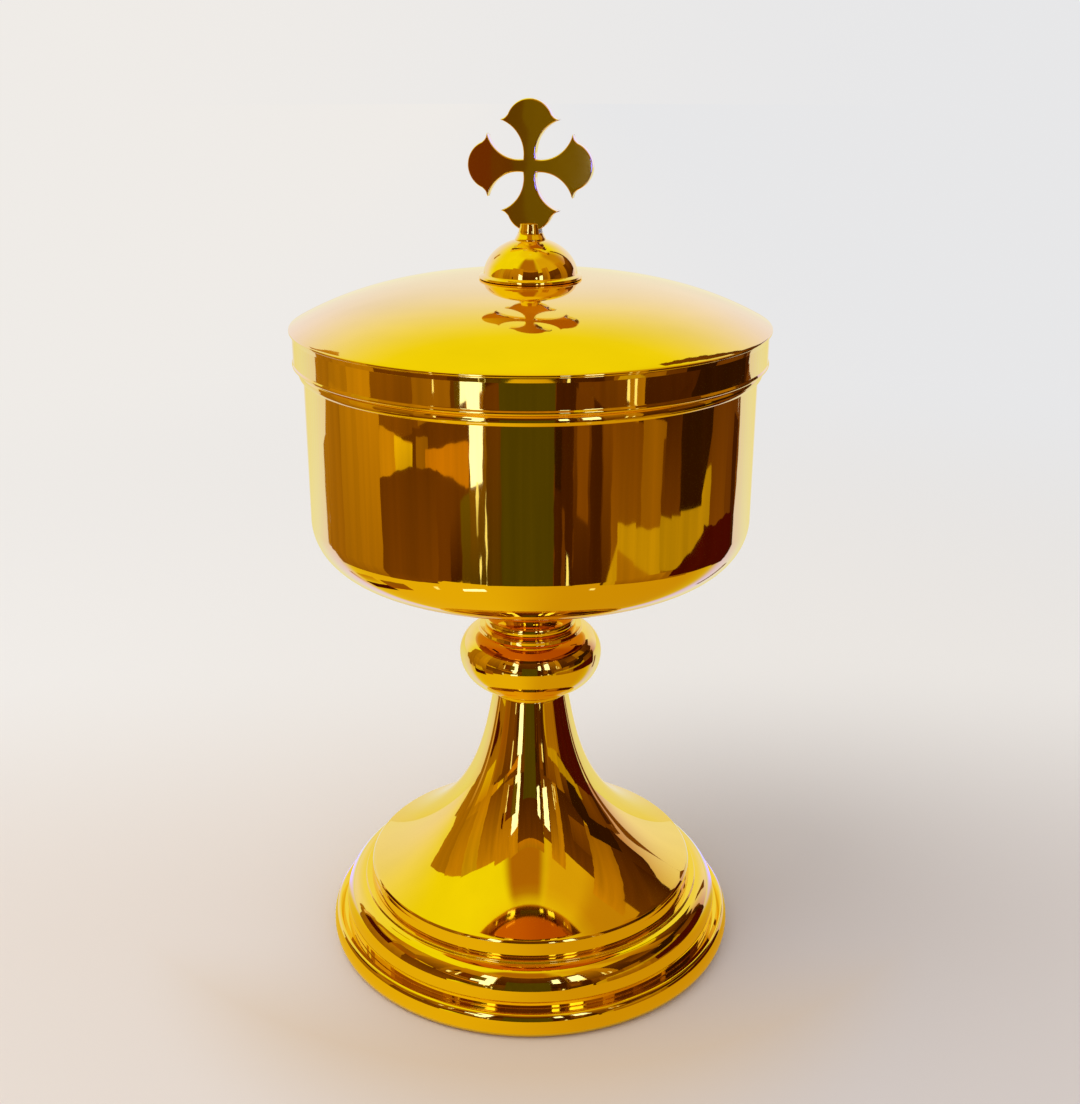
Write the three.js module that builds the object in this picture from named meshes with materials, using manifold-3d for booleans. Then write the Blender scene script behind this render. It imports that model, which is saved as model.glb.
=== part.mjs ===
// Ciborium: a covered cup on a knopped stem and a moulded foot, spun and turned in gilt brass.
// Millimetres, +Z up. The origin is the middle of the ring that the foot stands on.
// Every round piece is drawn as an outline of radius and height above its own seat.

import * as THREE from "three";
import { mergeVertices } from "three/addons/utils/BufferGeometryUtils.js";
import Module from "manifold-3d";

const wasm = await Module();
wasm.setup();

// Sheet and clearances
const sheet = 1.2; // wall of every spun shell
const solderFilm = 0.2; // between two rings that are soldered together
const seatGap = 0.3; // between the lid's flange and the mouth of the cup
const runningGap = 0.4; // between the lid's locating ring and the inside of the cup
const boltClearance = 0.4; // between a threaded rod and the holes that it passes
const slotClearance = 0.3; // each side of the cross in the slot of its ferrule

// Foot: a heavy ring, a torus moulding and a trumpet that narrows into the stem
const skirtRadius = 49.7; // where the trumpet stands on the moulding
const trumpetHeight = 60.9;
const stemRadius = 11.1; // at the top of the trumpet
const throatLean = 10.2; // slope of the throat there, in degrees from upright
const throatHold = 25.2; // how far the throat keeps to that slope before it opens
const flareWidth = 0.9; // how far inside the skirt's radius the flare ends
const flarePitch = 29.4; // slope of the flare at its foot, in degrees from level
const flareHold = 33.8; // how far the flare keeps to that slope
const skirtStep = 5.0; // height of the small steps under the flare
const skirtEdge = 0.6; // fall of the edge that the flare ends in
const skirtBand = 1.4; // height of the narrow band under that edge
const skirtFoot = 0.85; // height of the upright that the skirt stands on
const skirtInset = 0.4; // how far the narrow band stands in from that upright
const mouldingHeight = 11.6;
const mouldingWidth = 8.0; // how far the moulding stands out from the skirt
const mouldingLedge = 1.8; // flat ledge round the skirt
const mouldingFillet = 0.8; // riser between the ledge and the torus
const mouldingNeck = 2.6; // plain neck under the torus
const mouldingNeckInset = 0.5;
const seatWidth = 3.0; // flat under the skirt
const footRingHeight = 7.6;
const footRingProjection = 4.1; // how far the ring stands out from the moulding
const footRingBulge = 1.9;
const footRingCrest = 0.6; // rise of the ring above the shelf that carries the moulding
const footRingLip = 1.2; // slope between the crest and the shelf
const footRingShelf = 1.8; // how far the shelf reaches under the moulding's wall

// Knop and neck
const knopRadius = 21.0;
const knopHeight = 21.1;
const knopEquator = 12.4; // height of its widest place
const knopFoot = 0.6; // short cylinder on the stem
const knopFootStep = 0.3; // how far that cylinder stands out from the stem
const knopCoveHeight = 4.0; // hollow curve between the stem and the round
const knopCoveRadius = 17.0;
const knopCoveAngle = 53; // how far below the equator the cove meets the round, in degrees
const knopCoveStart = 1.2; // how far the cove first keeps upright
const knopCoveRun = 2.4; // how far it keeps to its slope at the round, across
const knopCoveRise = 1.8; // and up
const knopStepRadius = 15.2; // small flat ring on top
const knopStepHeight = 1.2;
const knopStepEdge = 0.4; // chamfer of that ring
const knopShoulder = 1.0; // reach of the upper round inside that ring's edge
const neckHeight = 12.5;
const neckRingRadius = 13.5;
const neckRingHeight = 2.9;
const neckRingRound = 0.5;
const neckRingFlat = 0.5; // flat on top of the ring, outside the hollow curve
const neckWaist = 8.9; // smallest radius of the hollow neck
const neckWaistRise = 3.8; // height of the waist above the ring
const neckFootRun = 0.8; // how far from the waist the hollow curve turns up, across
const neckFootRise = 0.6; // and up from the ring
const neckWaistBelow = 1.6; // how far the neck keeps upright below its waist
const neckWaistAbove = 2.4; // and above it
const neckTopRadius = 13.2;
const neckTopRun = 2.4; // how far the neck keeps to its slope under the bowl, across
const neckTopRise = 1.1; // and up

// Cup
const bowlRadius = 62.3;
const bowlHeight = 66.5;
const bowlCorner = 13.6; // radius of the turn between the wall and the bottom
const bowlPitch = 24; // slope of the bottom where it meets that turn, in degrees
const beadHeight = 2.6;
const beadWidth = 1.1;
const beadRound = 0.7; // how much of that width is rounded
const bossRadius = 6.5;
const bossHeight = 9.5;
const bossChamfer = 0.6;
const bossThread = 8.0; // depth of its blind hole

// Tie rod and what clamps it inside the trumpet
const rodRadius = 3.0;
const rodChamfer = 0.25; // at both ends of a threaded rod, as a share of its radius
const clampRise = 33.4; // underside of the clamp plate above the trumpet's seat
const clampPlate = 2.0;
const springWasher = 1.4;
const springWasherRim = 2.8; // width of its section
const springWasherSlit = 1.4;
const rodNutFlats = 10.0;
const rodNutHeight = 5.0;
const rodEnd = 2.0; // rod that shows past its nut

// Lid
const bandHeight = 9.3;
const bandProjection = 2.8; // how far the band stands out from the bowl
const bandFlare = 0.3; // the band widens by this at its top and its foot
const bandEdge = 0.5; // chamfer of its lower edge
const bandRim = 0.4; // upright above that chamfer
const bandLowSlope = 0.5; // height over which the band comes in above it
const bandHighSlope = 1.0; // height over which it goes out again
const bandTopRim = 0.3; // upright at its top
const lipProjection = 0.5; // how far the dome's lip stands out past the band
const lipHeight = 0.9;
const lipChamfer = 0.4; // height of the slope on top of the lip
const domeHeight = 11.84;
const domeFullness = 2.96; // 2 gives a round cap, more gives a flatter top and a steeper edge
const collarDepth = 7.9; // locating ring below the flange
const collarRise = 3.1; // and above it, behind the band
const collarWall = 1.0;
const collarLead = 0.5; // chamfer that leads it into the cup, across
const collarLeadRise = 0.75; // and up

// Finial
const finialRadius = 12.8; // half ball
const finialRise = 10.2; // height of the full half ball before its top is cut flat
const finialFlange = 1.2; // thin edge that stands out round its foot
const finialFlangeHeight = 0.5; // where the round of the half ball starts
const finialFlangeLow = 0.35; // underside of the flange's edge
const finialFlangeEdge = 0.4; // thickness of that edge
const finialSeatInset = 0.2; // how far the seat stays inside the half ball's radius
const finialFillet = 3; // angle at which the half ball leaves its flange, in degrees
const ferruleRadius = 4.2;
const ferruleHeight = 4.3;
const ferruleRim = 0.4; // height of its lower edge
const ferruleDraft = 0.1; // how far that edge leans in
const ferruleSlope = 1.3; // height at which its slope is half way in
const ferruleShoulder = 2.9; // radius of its shoulder
const ferruleShoulderLow = 2.4; // where the shoulder starts
const ferruleShoulderHigh = 3.4; // and where it ends
const ferruleShoulderDraft = 0.25; // how far the shoulder leans in
const ferruleTip = 1.9; // radius at its top
const slotDepth = 2.4;
const crossArm = 17.0; // from the middle to the end of each arm
const crossThickness = 3.0;
const crossBevel = 0.25;
const neckHalfWidth = 1.62; // half the narrowest width of an arm
const neckReach = 3.0; // its distance from the middle
const barbReach = 11.6; // points of an arm: distance from the middle
const barbSpread = 8.1; // and from the arm's centre line
const notchReach = 13.0; // where the round end begins
const notchSpread = 5.9;
const barbDip = 0.15; // hollow between a barb's point and the round end
const studRadius = 2.0;
const studNutFlats = 7.0;
const studNutHeight = 3.2;
const studWasherRadius = 7.0;
const studWasher = 1.0;
const studEnd = 1.5; // stud that shows past its nut

// Facets round the axis
const wideFacets = 40;
const smallFacets = 24;
const rodFacets = 20;

const gold = { color: 0xe3ad1c, roughness: 0.08, metalness: 1 };
const innerGold = { color: 0xd2a436, roughness: 0.22, metalness: 1 };
const steel = { color: 0xb4b8bc, roughness: 0.35, metalness: 1 };

const point = (r, z) => new THREE.Vector2(r, z);
const radians = THREE.MathUtils.degToRad;
const degrees = THREE.MathUtils.radToDeg;

function arc(r, z, acrossRadius, upRadius, from, to, steps) {
  const turnsBack = to < from;
  const curve = new THREE.EllipseCurve(
    r, z, acrossRadius, upRadius, radians(from), radians(to), turnsBack);
  return curve.getPoints(steps);
}

function bezier(a, b, c, d, steps) {
  return new THREE.CubicBezierCurve(a, b, c, d).getPoints(steps);
}

// The same smooth line moved sideways by a distance, to the right of its direction.
function offset(line, distance) {
  return line.map((here, i) => {
    const before = line[Math.max(i - 1, 0)];
    const after = line[Math.min(i + 1, line.length - 1)];
    const along = after.clone().sub(before).normalize();
    return point(here.x + along.y * distance, here.y - along.x * distance);
  });
}

// Radius of a line at a height, for a line whose height always rises or always falls.
function radiusAt(line, z) {
  for (let i = 1; i < line.length; i += 1) {
    const low = line[i - 1];
    const high = line[i];
    if ((low.y - z) * (high.y - z) <= 0 && low.y !== high.y) {
      return low.x + ((high.x - low.x) * (z - low.y)) / (high.y - low.y);
    }
  }
  throw new Error(`no wall at height ${z}`);
}

// Turns a closed outline of radius and height round +Z.
function revolve(outline, facets = wideFacets) {
  const points = outline.filter((p, i) => i === 0 || p.distanceTo(outline[i - 1]) > 1e-5);
  if (THREE.ShapeUtils.area(points) < 0) points.reverse();
  if (points[0].x > 0 || points[points.length - 1].x > 0) points.push(points[0].clone());
  return new THREE.LatheGeometry(points, facets).rotateX(Math.PI / 2);
}

// A straight-sided plate from a flat outline, standing on z = 0.
function plate(shape, height) {
  return new THREE.ExtrudeGeometry(shape, { depth: height, bevelEnabled: false, curveSegments: 12 });
}

function toSolid(geometry) {
  const bare = geometry.clone();
  bare.deleteAttribute("normal");
  bare.deleteAttribute("uv");
  const merged = mergeVertices(bare, 1e-4);
  return new wasm.Manifold(new wasm.Mesh({
    numProp: 3,
    vertProperties: new Float32Array(merged.attributes.position.array),
    triVerts: new Uint32Array(merged.index.array),
  }));
}

function toGeometry(solid) {
  const mesh = solid.getMesh();
  const geometry = new THREE.BufferGeometry();
  geometry.setAttribute("position", new THREE.BufferAttribute(mesh.vertProperties, 3));
  geometry.setIndex(new THREE.BufferAttribute(mesh.triVerts, 1));
  return geometry;
}

function piece(name, geometry, finish, height = 0) {
  const mesh = new THREE.Mesh(geometry, new THREE.MeshStandardMaterial(finish));
  mesh.name = name;
  mesh.position.z = height;
  return mesh;
}

// Radii and heights that follow from the sizes above
const rodHole = rodRadius + boltClearance;
const studHole = studRadius + boltClearance;
const mouldingRadius = skirtRadius + mouldingWidth;
const footRingRadius = mouldingRadius + footRingProjection;
const footRingShelfHeight = footRingHeight - footRingCrest;
const mouldingTop = footRingShelfHeight + mouldingHeight;
const trumpetTop = mouldingTop + trumpetHeight;
const knopTop = trumpetTop + knopHeight;
const bowlSeat = knopTop + neckHeight;
const rimTop = bowlSeat + bowlHeight;
const bowlInside = bowlRadius - sheet;
const collarRadius = bowlInside - runningGap;
const bandRadius = bowlRadius + bandProjection;
const lipRadius = bandRadius + lipProjection;
const domeFoot = bandHeight + lipHeight;
const domeTop = domeFoot + domeHeight;
const clampUnderside = mouldingTop + clampRise;

function footRing() {
  const bulgeCentre = footRingRadius - footRingBulge;
  const inside = mouldingRadius - mouldingNeckInset - footRingShelf;
  return revolve([
    point(inside, 0),
    ...arc(bulgeCentre, footRingHeight / 2, footRingBulge, footRingHeight / 2, -90, 90, 6),
    point(bulgeCentre - footRingLip, footRingShelfHeight),
    point(inside, footRingShelfHeight),
  ]);
}

// Torus with a ledge above and a plain neck below, one wall thick all round.
function footMoulding() {
  const ledgeRadius = skirtRadius + mouldingLedge;
  const neckRadius = mouldingRadius - mouldingNeckInset;
  const torusTop = mouldingHeight - mouldingFillet;
  const torusAcross = mouldingRadius - ledgeRadius;
  const torusUp = torusTop - mouldingNeck;
  return revolve([
    point(neckRadius, 0),
    point(neckRadius, mouldingNeck - mouldingNeckInset),
    ...arc(ledgeRadius, mouldingNeck, torusAcross, torusUp, 0, 90, 6),
    point(ledgeRadius, mouldingHeight),
    point(skirtRadius - seatWidth, mouldingHeight),
    point(skirtRadius - seatWidth, mouldingHeight - sheet),
    point(ledgeRadius - sheet, mouldingHeight - sheet),
    ...arc(ledgeRadius - sheet, mouldingNeck, torusAcross, torusUp - sheet, 85, 0, 4),
    point(neckRadius - sheet, mouldingNeck - mouldingNeckInset),
    point(neckRadius - sheet, 0),
  ]);
}

// Outside of the trumpet: a leaning throat that opens into a flatter flare.
function trumpetFlare() {
  const lean = radians(throatLean);
  const pitch = radians(flarePitch);
  const throat = point(stemRadius, trumpetHeight);
  const flareFoot = point(skirtRadius - flareWidth, skirtStep);
  return bezier(
    throat,
    point(throat.x + throatHold * Math.sin(lean), throat.y - throatHold * Math.cos(lean)),
    point(flareFoot.x - flareHold * Math.cos(pitch), flareFoot.y + flareHold * Math.sin(pitch)),
    flareFoot,
    12);
}

// Inside of the trumpet from the crown down, as far as the steps of its skirt.
function trumpetInside() {
  const crown = trumpetHeight - sheet;
  const wall = offset(trumpetFlare(), sheet);
  return [point(radiusAt(wall, crown), crown), ...wall.filter((p) => p.y < crown)];
}

function footTrumpet() {
  const narrowRadius = skirtRadius - skirtInset;
  const narrowFoot = skirtStep - skirtEdge - skirtBand;
  return revolve([
    point(rodHole, trumpetHeight),
    ...trumpetFlare(),
    point(narrowRadius, skirtStep - skirtEdge),
    point(narrowRadius, narrowFoot),
    point(skirtRadius, skirtFoot),
    point(skirtRadius, 0),
    point(skirtRadius - sheet, 0),
    point(skirtRadius - sheet, skirtFoot),
    point(narrowRadius - sheet, narrowFoot),
    ...trumpetInside().reverse(),
    point(rodHole, trumpetHeight - sheet),
  ]);
}

function knop() {
  const meet = radians(knopCoveAngle);
  const lowAcross = (knopRadius - knopCoveRadius) / (1 - Math.cos(meet));
  const lowUp = (knopEquator - knopCoveHeight) / Math.sin(meet);
  const highCentre = knopStepRadius - knopShoulder;
  const highAcross = knopRadius - highCentre;
  const highUp = knopHeight - knopStepHeight - knopEquator;
  const stepAngle = degrees(Math.acos((knopStepRadius - highCentre) / highAcross));
  const footRadius = stemRadius + knopFootStep;
  return revolve([
    point(rodHole, 0),
    point(footRadius, 0),
    ...bezier(
      point(footRadius, knopFoot),
      point(footRadius, knopFoot + knopCoveStart),
      point(knopCoveRadius - knopCoveRun, knopCoveHeight - knopCoveRise),
      point(knopCoveRadius, knopCoveHeight),
      4),
    ...arc(knopRadius - lowAcross, knopEquator, lowAcross, lowUp, -knopCoveAngle, 0, 5),
    ...arc(highCentre, knopEquator, highAcross, highUp, 0, stepAngle, 5),
    point(knopStepRadius, knopHeight - knopStepEdge),
    point(knopStepRadius - knopStepEdge, knopHeight),
    point(rodHole, knopHeight),
  ], smallFacets);
}

// Small ring below, then a hollow neck that opens again under the bowl.
function neckCollar() {
  const ringCentre = neckRingRadius - neckRingRound;
  const hole = bossRadius + solderFilm;
  const waistHeight = neckRingHeight + neckWaistRise;
  return revolve([
    point(hole, 0),
    ...arc(ringCentre, neckRingHeight / 2, neckRingRound, neckRingHeight / 2, -90, 90, 4),
    ...bezier(
      point(ringCentre - neckRingFlat, neckRingHeight),
      point(neckWaist + neckFootRun, neckRingHeight + neckFootRise),
      point(neckWaist, waistHeight - neckWaistBelow),
      point(neckWaist, waistHeight),
      4),
    ...bezier(
      point(neckWaist, waistHeight),
      point(neckWaist, waistHeight + neckWaistAbove),
      point(neckTopRadius - neckTopRun, neckHeight - neckTopRise),
      point(neckTopRadius, neckHeight),
      4),
    point(hole, neckHeight),
  ], smallFacets);
}

// A shallow round bottom that turns through the corner into an upright wall.
// The same lines give the inside, one wall thickness in.
function bowlLine(inset) {
  const pitch = radians(bowlPitch);
  const cornerCentre = bowlRadius - bowlCorner;
  const joinRadius = cornerCentre + bowlCorner * Math.sin(pitch);
  const bottomRadius = joinRadius / Math.sin(pitch);
  const bottomCentre = Math.sqrt(bottomRadius ** 2 - neckTopRadius ** 2);
  const cornerHeight = bottomCentre - (bottomRadius - bowlCorner) * Math.cos(pitch);
  const bottom = bottomRadius - inset;
  const flat = Math.sqrt(bottom ** 2 - (bottomCentre - inset) ** 2);
  const flatAngle = degrees(Math.asin(flat / bottom));
  const corner = bowlCorner - inset;
  return [
    point(0, inset),
    ...arc(0, bottomCentre, bottom, bottom, flatAngle - 90, bowlPitch - 90, 3),
    ...arc(cornerCentre, cornerHeight, corner, corner, bowlPitch - 90, 0, 5),
    point(bowlRadius - inset, bowlHeight),
  ];
}

function cupBowl() {
  return revolve([...bowlLine(0), ...bowlLine(sheet).reverse()]);
}

function rimBead() {
  const inside = bowlRadius + solderFilm;
  return revolve([
    point(inside, 0),
    ...arc(inside + beadWidth - beadRound, beadHeight / 2, beadRound, beadHeight / 2, -90, 90, 4),
    point(inside, beadHeight),
  ]);
}

function cupBoss() {
  return revolve([
    point(rodHole, 0),
    point(bossRadius - bossChamfer, 0),
    point(bossRadius, bossChamfer),
    point(bossRadius, bossHeight),
    point(0, bossHeight),
    point(0, bossThread),
    point(rodHole, bossThread),
  ], smallFacets);
}

function threadedRod(radius, length) {
  const chamfer = radius * rodChamfer;
  return revolve([
    point(0, 0),
    point(radius - chamfer, 0),
    point(radius, chamfer),
    point(radius, length - chamfer),
    point(radius - chamfer, length),
    point(0, length),
  ], rodFacets);
}

// Disc whose edge bears on the inside of the trumpet all round.
function clampDisc() {
  const wall = trumpetInside();
  return revolve([
    point(rodHole, 0),
    point(radiusAt(wall, clampRise) - seatGap, 0),
    point(radiusAt(wall, clampRise + clampPlate) - seatGap, clampPlate),
    point(rodHole, clampPlate),
  ], smallFacets);
}

function splitWasher() {
  const outer = rodHole + springWasherRim;
  const half = springWasherSlit / 2;
  const outerStart = Math.asin(half / outer);
  const innerStart = Math.asin(half / rodHole);
  const shape = new THREE.Shape();
  shape.absarc(0, 0, outer, outerStart, 2 * Math.PI - outerStart, false);
  shape.absarc(0, 0, rodHole, 2 * Math.PI - innerStart, innerStart, true);
  shape.closePath();
  return plate(shape, springWasher);
}

function flatWasher(hole, radius, height) {
  return revolve([
    point(hole, 0), point(radius, 0), point(radius, height), point(hole, height),
  ], smallFacets);
}

function hexNut(acrossFlats, hole, height) {
  const corner = acrossFlats / Math.sqrt(3);
  const shape = new THREE.Shape();
  for (let side = 0; side < 6; side += 1) {
    const angle = (side * Math.PI) / 3;
    const x = corner * Math.cos(angle);
    const y = corner * Math.sin(angle);
    if (side === 0) shape.moveTo(x, y);
    else shape.lineTo(x, y);
  }
  shape.closePath();
  shape.holes.push(new THREE.Path().absarc(0, 0, hole, 0, 2 * Math.PI, true));
  return plate(shape, height);
}

// Vertical band with a flange turned in at its foot, which sits on the mouth of the cup.
function lidBand() {
  const waist = bandRadius - bandFlare;
  const inside = bandRadius - bandFlare - sheet;
  const hole = collarRadius + solderFilm;
  const rimHeight = bandEdge + bandRim;
  return revolve([
    point(hole, 0),
    point(bandRadius - bandEdge, 0),
    point(bandRadius, bandEdge),
    point(bandRadius, rimHeight),
    point(waist, rimHeight + bandLowSlope),
    point(waist, bandHeight - bandTopRim - bandHighSlope),
    point(bandRadius, bandHeight - bandTopRim),
    point(bandRadius, bandHeight),
    point(inside, bandHeight),
    point(inside, sheet),
    point(hole, sheet),
  ]);
}

function domeAt(r) {
  return domeFoot + domeHeight * (1 - (r / bandRadius) ** domeFullness);
}

// The underside of the dome is flat as far as its washer reaches.
const washerFlat = studWasherRadius + seatGap;
const domeUnderside = domeAt(washerFlat) - sheet;

// Shallow dome whose edge projects past the band as a thin lip.
function lidDome() {
  const outside = [];
  const outerSteps = 8;
  for (let i = 0; i <= outerSteps; i += 1) {
    const r = THREE.MathUtils.lerp(bandRadius, studHole, i / outerSteps);
    outside.push(point(r, domeAt(r)));
  }
  // Where the inner surface, one wall below, comes down to the top of the band.
  const reach = (bandHeight + sheet - domeFoot) / domeHeight;
  const insideEdge = bandRadius * (1 - reach) ** (1 / domeFullness);
  const inside = [point(studHole, domeUnderside)];
  const innerSteps = 6;
  for (let i = 0; i <= innerSteps; i += 1) {
    const r = THREE.MathUtils.lerp(washerFlat, insideEdge, i / innerSteps);
    inside.push(point(r, domeAt(r) - sheet));
  }
  return revolve([
    point(lipRadius, bandHeight),
    point(lipRadius, domeFoot - lipChamfer),
    ...outside,
    ...inside,
  ]);
}

// Ring that drops into the mouth of the cup and keeps the lid in the middle.
function lidCollar() {
  return revolve([
    point(collarRadius - collarWall, 0),
    point(collarRadius - collarLead, 0),
    point(collarRadius, collarLeadRise),
    point(collarRadius, collarDepth + collarRise),
    point(collarRadius - collarWall, collarDepth + collarRise),
  ]);
}

// The half ball's top is cut flat where it is as wide as the ferrule.
const finialCut = Math.acos(ferruleRadius / finialRadius);
const finialFlat = finialFlangeHeight + finialRise * Math.sin(finialCut);

function finialBall() {
  const edge = finialRadius + finialFlange;
  return revolve([
    point(studHole, 0),
    point(finialRadius - finialSeatInset, 0),
    point(edge, finialFlangeLow),
    point(edge, finialFlangeLow + finialFlangeEdge),
    ...arc(0, finialFlangeHeight, finialRadius, finialRise, finialFillet, degrees(finialCut), 6),
    point(studHole, finialFlat),
  ], smallFacets);
}

const slotFloor = ferruleHeight - slotDepth;

function finialFerrule() {
  const turned = revolve([
    point(studHole, 0),
    point(ferruleRadius, 0),
    point(ferruleRadius - ferruleDraft, ferruleRim),
    point((ferruleRadius + ferruleShoulder) / 2, ferruleSlope),
    point(ferruleShoulder, ferruleShoulderLow),
    point(ferruleShoulder - ferruleShoulderDraft, ferruleShoulderHigh),
    point(ferruleTip, ferruleHeight),
    point(0, ferruleHeight),
    point(0, slotFloor),
    point(studHole, slotFloor),
  ], smallFacets);
  const width = crossThickness + 2 * slotClearance;
  // Longer and higher than the ferrule, so that it is open on three sides.
  const slot = new THREE.BoxGeometry(4 * ferruleRadius, width, 2 * slotDepth);
  slot.translate(0, 0, slotFloor + slotDepth);
  return toGeometry(toSolid(turned).subtract(toSolid(slot)));
}

// One arm of the cross, from the hollow at its left to the hollow at its right, pointing up.
function crossArmOutline() {
  const run = barbSpread - neckHalfWidth;
  const rise = barbReach - neckReach;
  const sweep = (run ** 2 + rise ** 2) / (2 * run); // radius of the hollow side
  const sweepX = neckHalfWidth + sweep;
  // The hollow sides of two neighbouring arms cross on the diagonal.
  const mid = (sweepX + neckReach) / 2;
  const spread = (sweepX ** 2 + neckReach ** 2 - sweep ** 2) / 2;
  const crotch = mid - Math.sqrt(mid ** 2 - spread);
  const start = Math.atan2(crotch - neckReach, crotch - sweepX);
  const end = Math.atan2(rise, barbSpread - sweepX);
  const half = [];
  const steps = 5;
  for (let i = 0; i <= steps; i += 1) {
    const angle = THREE.MathUtils.lerp(start < 0 ? start + 2 * Math.PI : start, end, i / steps);
    half.push(point(sweepX + sweep * Math.cos(angle), neckReach + sweep * Math.sin(angle)));
  }
  half.push(point(
    (barbSpread + notchSpread) / 2 - barbDip, (barbReach + notchReach) / 2 - barbDip));
  const lobeRise = crossArm - notchReach;
  const lobe = (notchSpread ** 2 + lobeRise ** 2) / (2 * lobeRise);
  const lobeStart = Math.asin((notchReach - (crossArm - lobe)) / lobe);
  const lobeSteps = 4;
  for (let i = 0; i <= lobeSteps; i += 1) {
    const angle = THREE.MathUtils.lerp(lobeStart, Math.PI / 2, i / lobeSteps);
    half.push(point(lobe * Math.cos(angle), crossArm - lobe + lobe * Math.sin(angle)));
  }
  const other = half.slice(0, -1).reverse().map((p) => point(-p.x, p.y));
  return [...half, ...other];
}

// Flat cross in the XZ plane: four like arms with barbed, rounded ends.
function finialCross() {
  const arm = crossArmOutline();
  const outline = [];
  for (let quarter = 0; quarter < 4; quarter += 1) {
    const turned = arm.map((p) => p.clone().rotateAround(point(0, 0), (quarter * Math.PI) / 2));
    outline.push(...turned.slice(0, -1));
  }
  const geometry = new THREE.ExtrudeGeometry(new THREE.Shape(outline), {
    depth: crossThickness - 2 * crossBevel,
    bevelEnabled: true,
    bevelThickness: crossBevel,
    bevelSize: crossBevel,
    bevelOffset: -crossBevel,
    bevelSegments: 1,
  });
  geometry.translate(0, 0, crossBevel - crossThickness / 2);
  return geometry.rotateX(Math.PI / 2);
}

function vessel() {
  const group = new THREE.Group();
  const bossSeat = bowlSeat - bossHeight;
  const nutSeat = clampUnderside - springWasher - rodNutHeight;
  const rodFoot = nutSeat - rodEnd;
  const rodTop = bossSeat + bossThread - boltClearance;
  group.add(
    piece("foot_ring", footRing(), gold),
    piece("foot_moulding", footMoulding(), gold, footRingShelfHeight),
    piece("foot_trumpet", footTrumpet(), gold, mouldingTop),
    piece("knop", knop(), gold, trumpetTop),
    piece("neck_collar", neckCollar(), gold, knopTop),
    piece("cup_bowl", cupBowl(), gold, bowlSeat),
    piece("cup_rim_bead", rimBead(), gold, rimTop - beadHeight),
    piece("cup_boss", cupBoss(), innerGold, bossSeat),
    piece("tie_rod", threadedRod(rodRadius, rodTop - rodFoot), steel, rodFoot),
    piece("clamp_plate", clampDisc(), innerGold, clampUnderside),
    piece("rod_spring_washer", splitWasher(), steel, clampUnderside - springWasher),
    piece("rod_nut", hexNut(rodNutFlats, rodHole, rodNutHeight), steel, nutSeat),
  );
  return group;
}

function lid() {
  const group = new THREE.Group();
  group.position.z = rimTop + seatGap;
  const ferruleSeat = domeTop + finialFlat;
  const crossMiddle = ferruleSeat + slotFloor + slotClearance + crossArm;
  const washerSeat = domeUnderside - studWasher;
  const nutSeat = washerSeat - studNutHeight;
  const studFoot = nutSeat - studEnd;
  const studTop = ferruleSeat + slotFloor;
  group.add(
    piece("lid_band", lidBand(), gold),
    piece("lid_dome", lidDome(), gold),
    piece("lid_collar", lidCollar(), innerGold, -collarDepth),
    piece("finial_ball", finialBall(), gold, domeTop),
    piece("finial_ferrule", finialFerrule(), gold, ferruleSeat),
    piece("finial_cross", finialCross(), gold, crossMiddle),
    piece("finial_stud", threadedRod(studRadius, studTop - studFoot), steel, studFoot),
    piece("finial_washer", flatWasher(studHole, studWasherRadius, studWasher), steel, washerSeat),
    piece("finial_nut", hexNut(studNutFlats, studHole, studNutHeight), steel, nutSeat),
  );
  return group;
}

const ciborium = new THREE.Group();
ciborium.add(vessel(), lid());

export default ciborium;
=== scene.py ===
"""Ciborium in mirror-polished gilt brass: the looks of each piece, an add-on that runs as a script."""

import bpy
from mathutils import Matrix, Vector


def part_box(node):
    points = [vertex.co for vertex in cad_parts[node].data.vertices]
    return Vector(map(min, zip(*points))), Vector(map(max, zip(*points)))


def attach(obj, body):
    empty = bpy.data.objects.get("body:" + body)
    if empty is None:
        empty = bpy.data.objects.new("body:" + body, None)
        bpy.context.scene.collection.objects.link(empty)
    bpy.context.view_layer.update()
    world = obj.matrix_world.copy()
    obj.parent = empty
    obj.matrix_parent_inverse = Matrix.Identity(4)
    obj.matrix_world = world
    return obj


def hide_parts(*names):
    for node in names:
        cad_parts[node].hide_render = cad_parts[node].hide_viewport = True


bl_info = {
    "name": "Ciborium",
    "version": (1, 0, 0),
    "blender": (4, 5, 0),
    "location": "3D View > Sidebar > Ciborium",
    "description": "Dresses the packed ciborium: spun and turned gilt pieces, fixings, stage and light",
    "category": "Object",
}

import math

import bmesh
import bpy
from mathutils import Vector

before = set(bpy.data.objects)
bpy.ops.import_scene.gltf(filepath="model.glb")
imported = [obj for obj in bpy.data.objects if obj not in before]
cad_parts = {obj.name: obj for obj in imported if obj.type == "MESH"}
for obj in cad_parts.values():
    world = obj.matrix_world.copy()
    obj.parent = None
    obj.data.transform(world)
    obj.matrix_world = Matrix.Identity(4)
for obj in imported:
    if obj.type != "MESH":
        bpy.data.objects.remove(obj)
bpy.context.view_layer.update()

MM = 0.001
FULL_TURN = 2 * math.pi


# Property helpers

def length(name, description, millimetres):
    return bpy.props.FloatProperty(
        name=name, description=description, default=millimetres * MM,
        min=0.0, precision=5, unit="LENGTH", subtype="DISTANCE")


def count(name, description, value):
    return bpy.props.IntProperty(name=name, description=description, default=value, min=3)


def share(name, description, value):
    return bpy.props.FloatProperty(
        name=name, description=description, default=value, min=0.0, max=1.0, subtype="FACTOR")


def strength(name, description, value):
    return bpy.props.FloatProperty(name=name, description=description, default=value, min=0.0)


def angle(name, description, degrees):
    return bpy.props.FloatProperty(
        name=name, description=description, default=math.radians(degrees), subtype="ANGLE")


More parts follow.
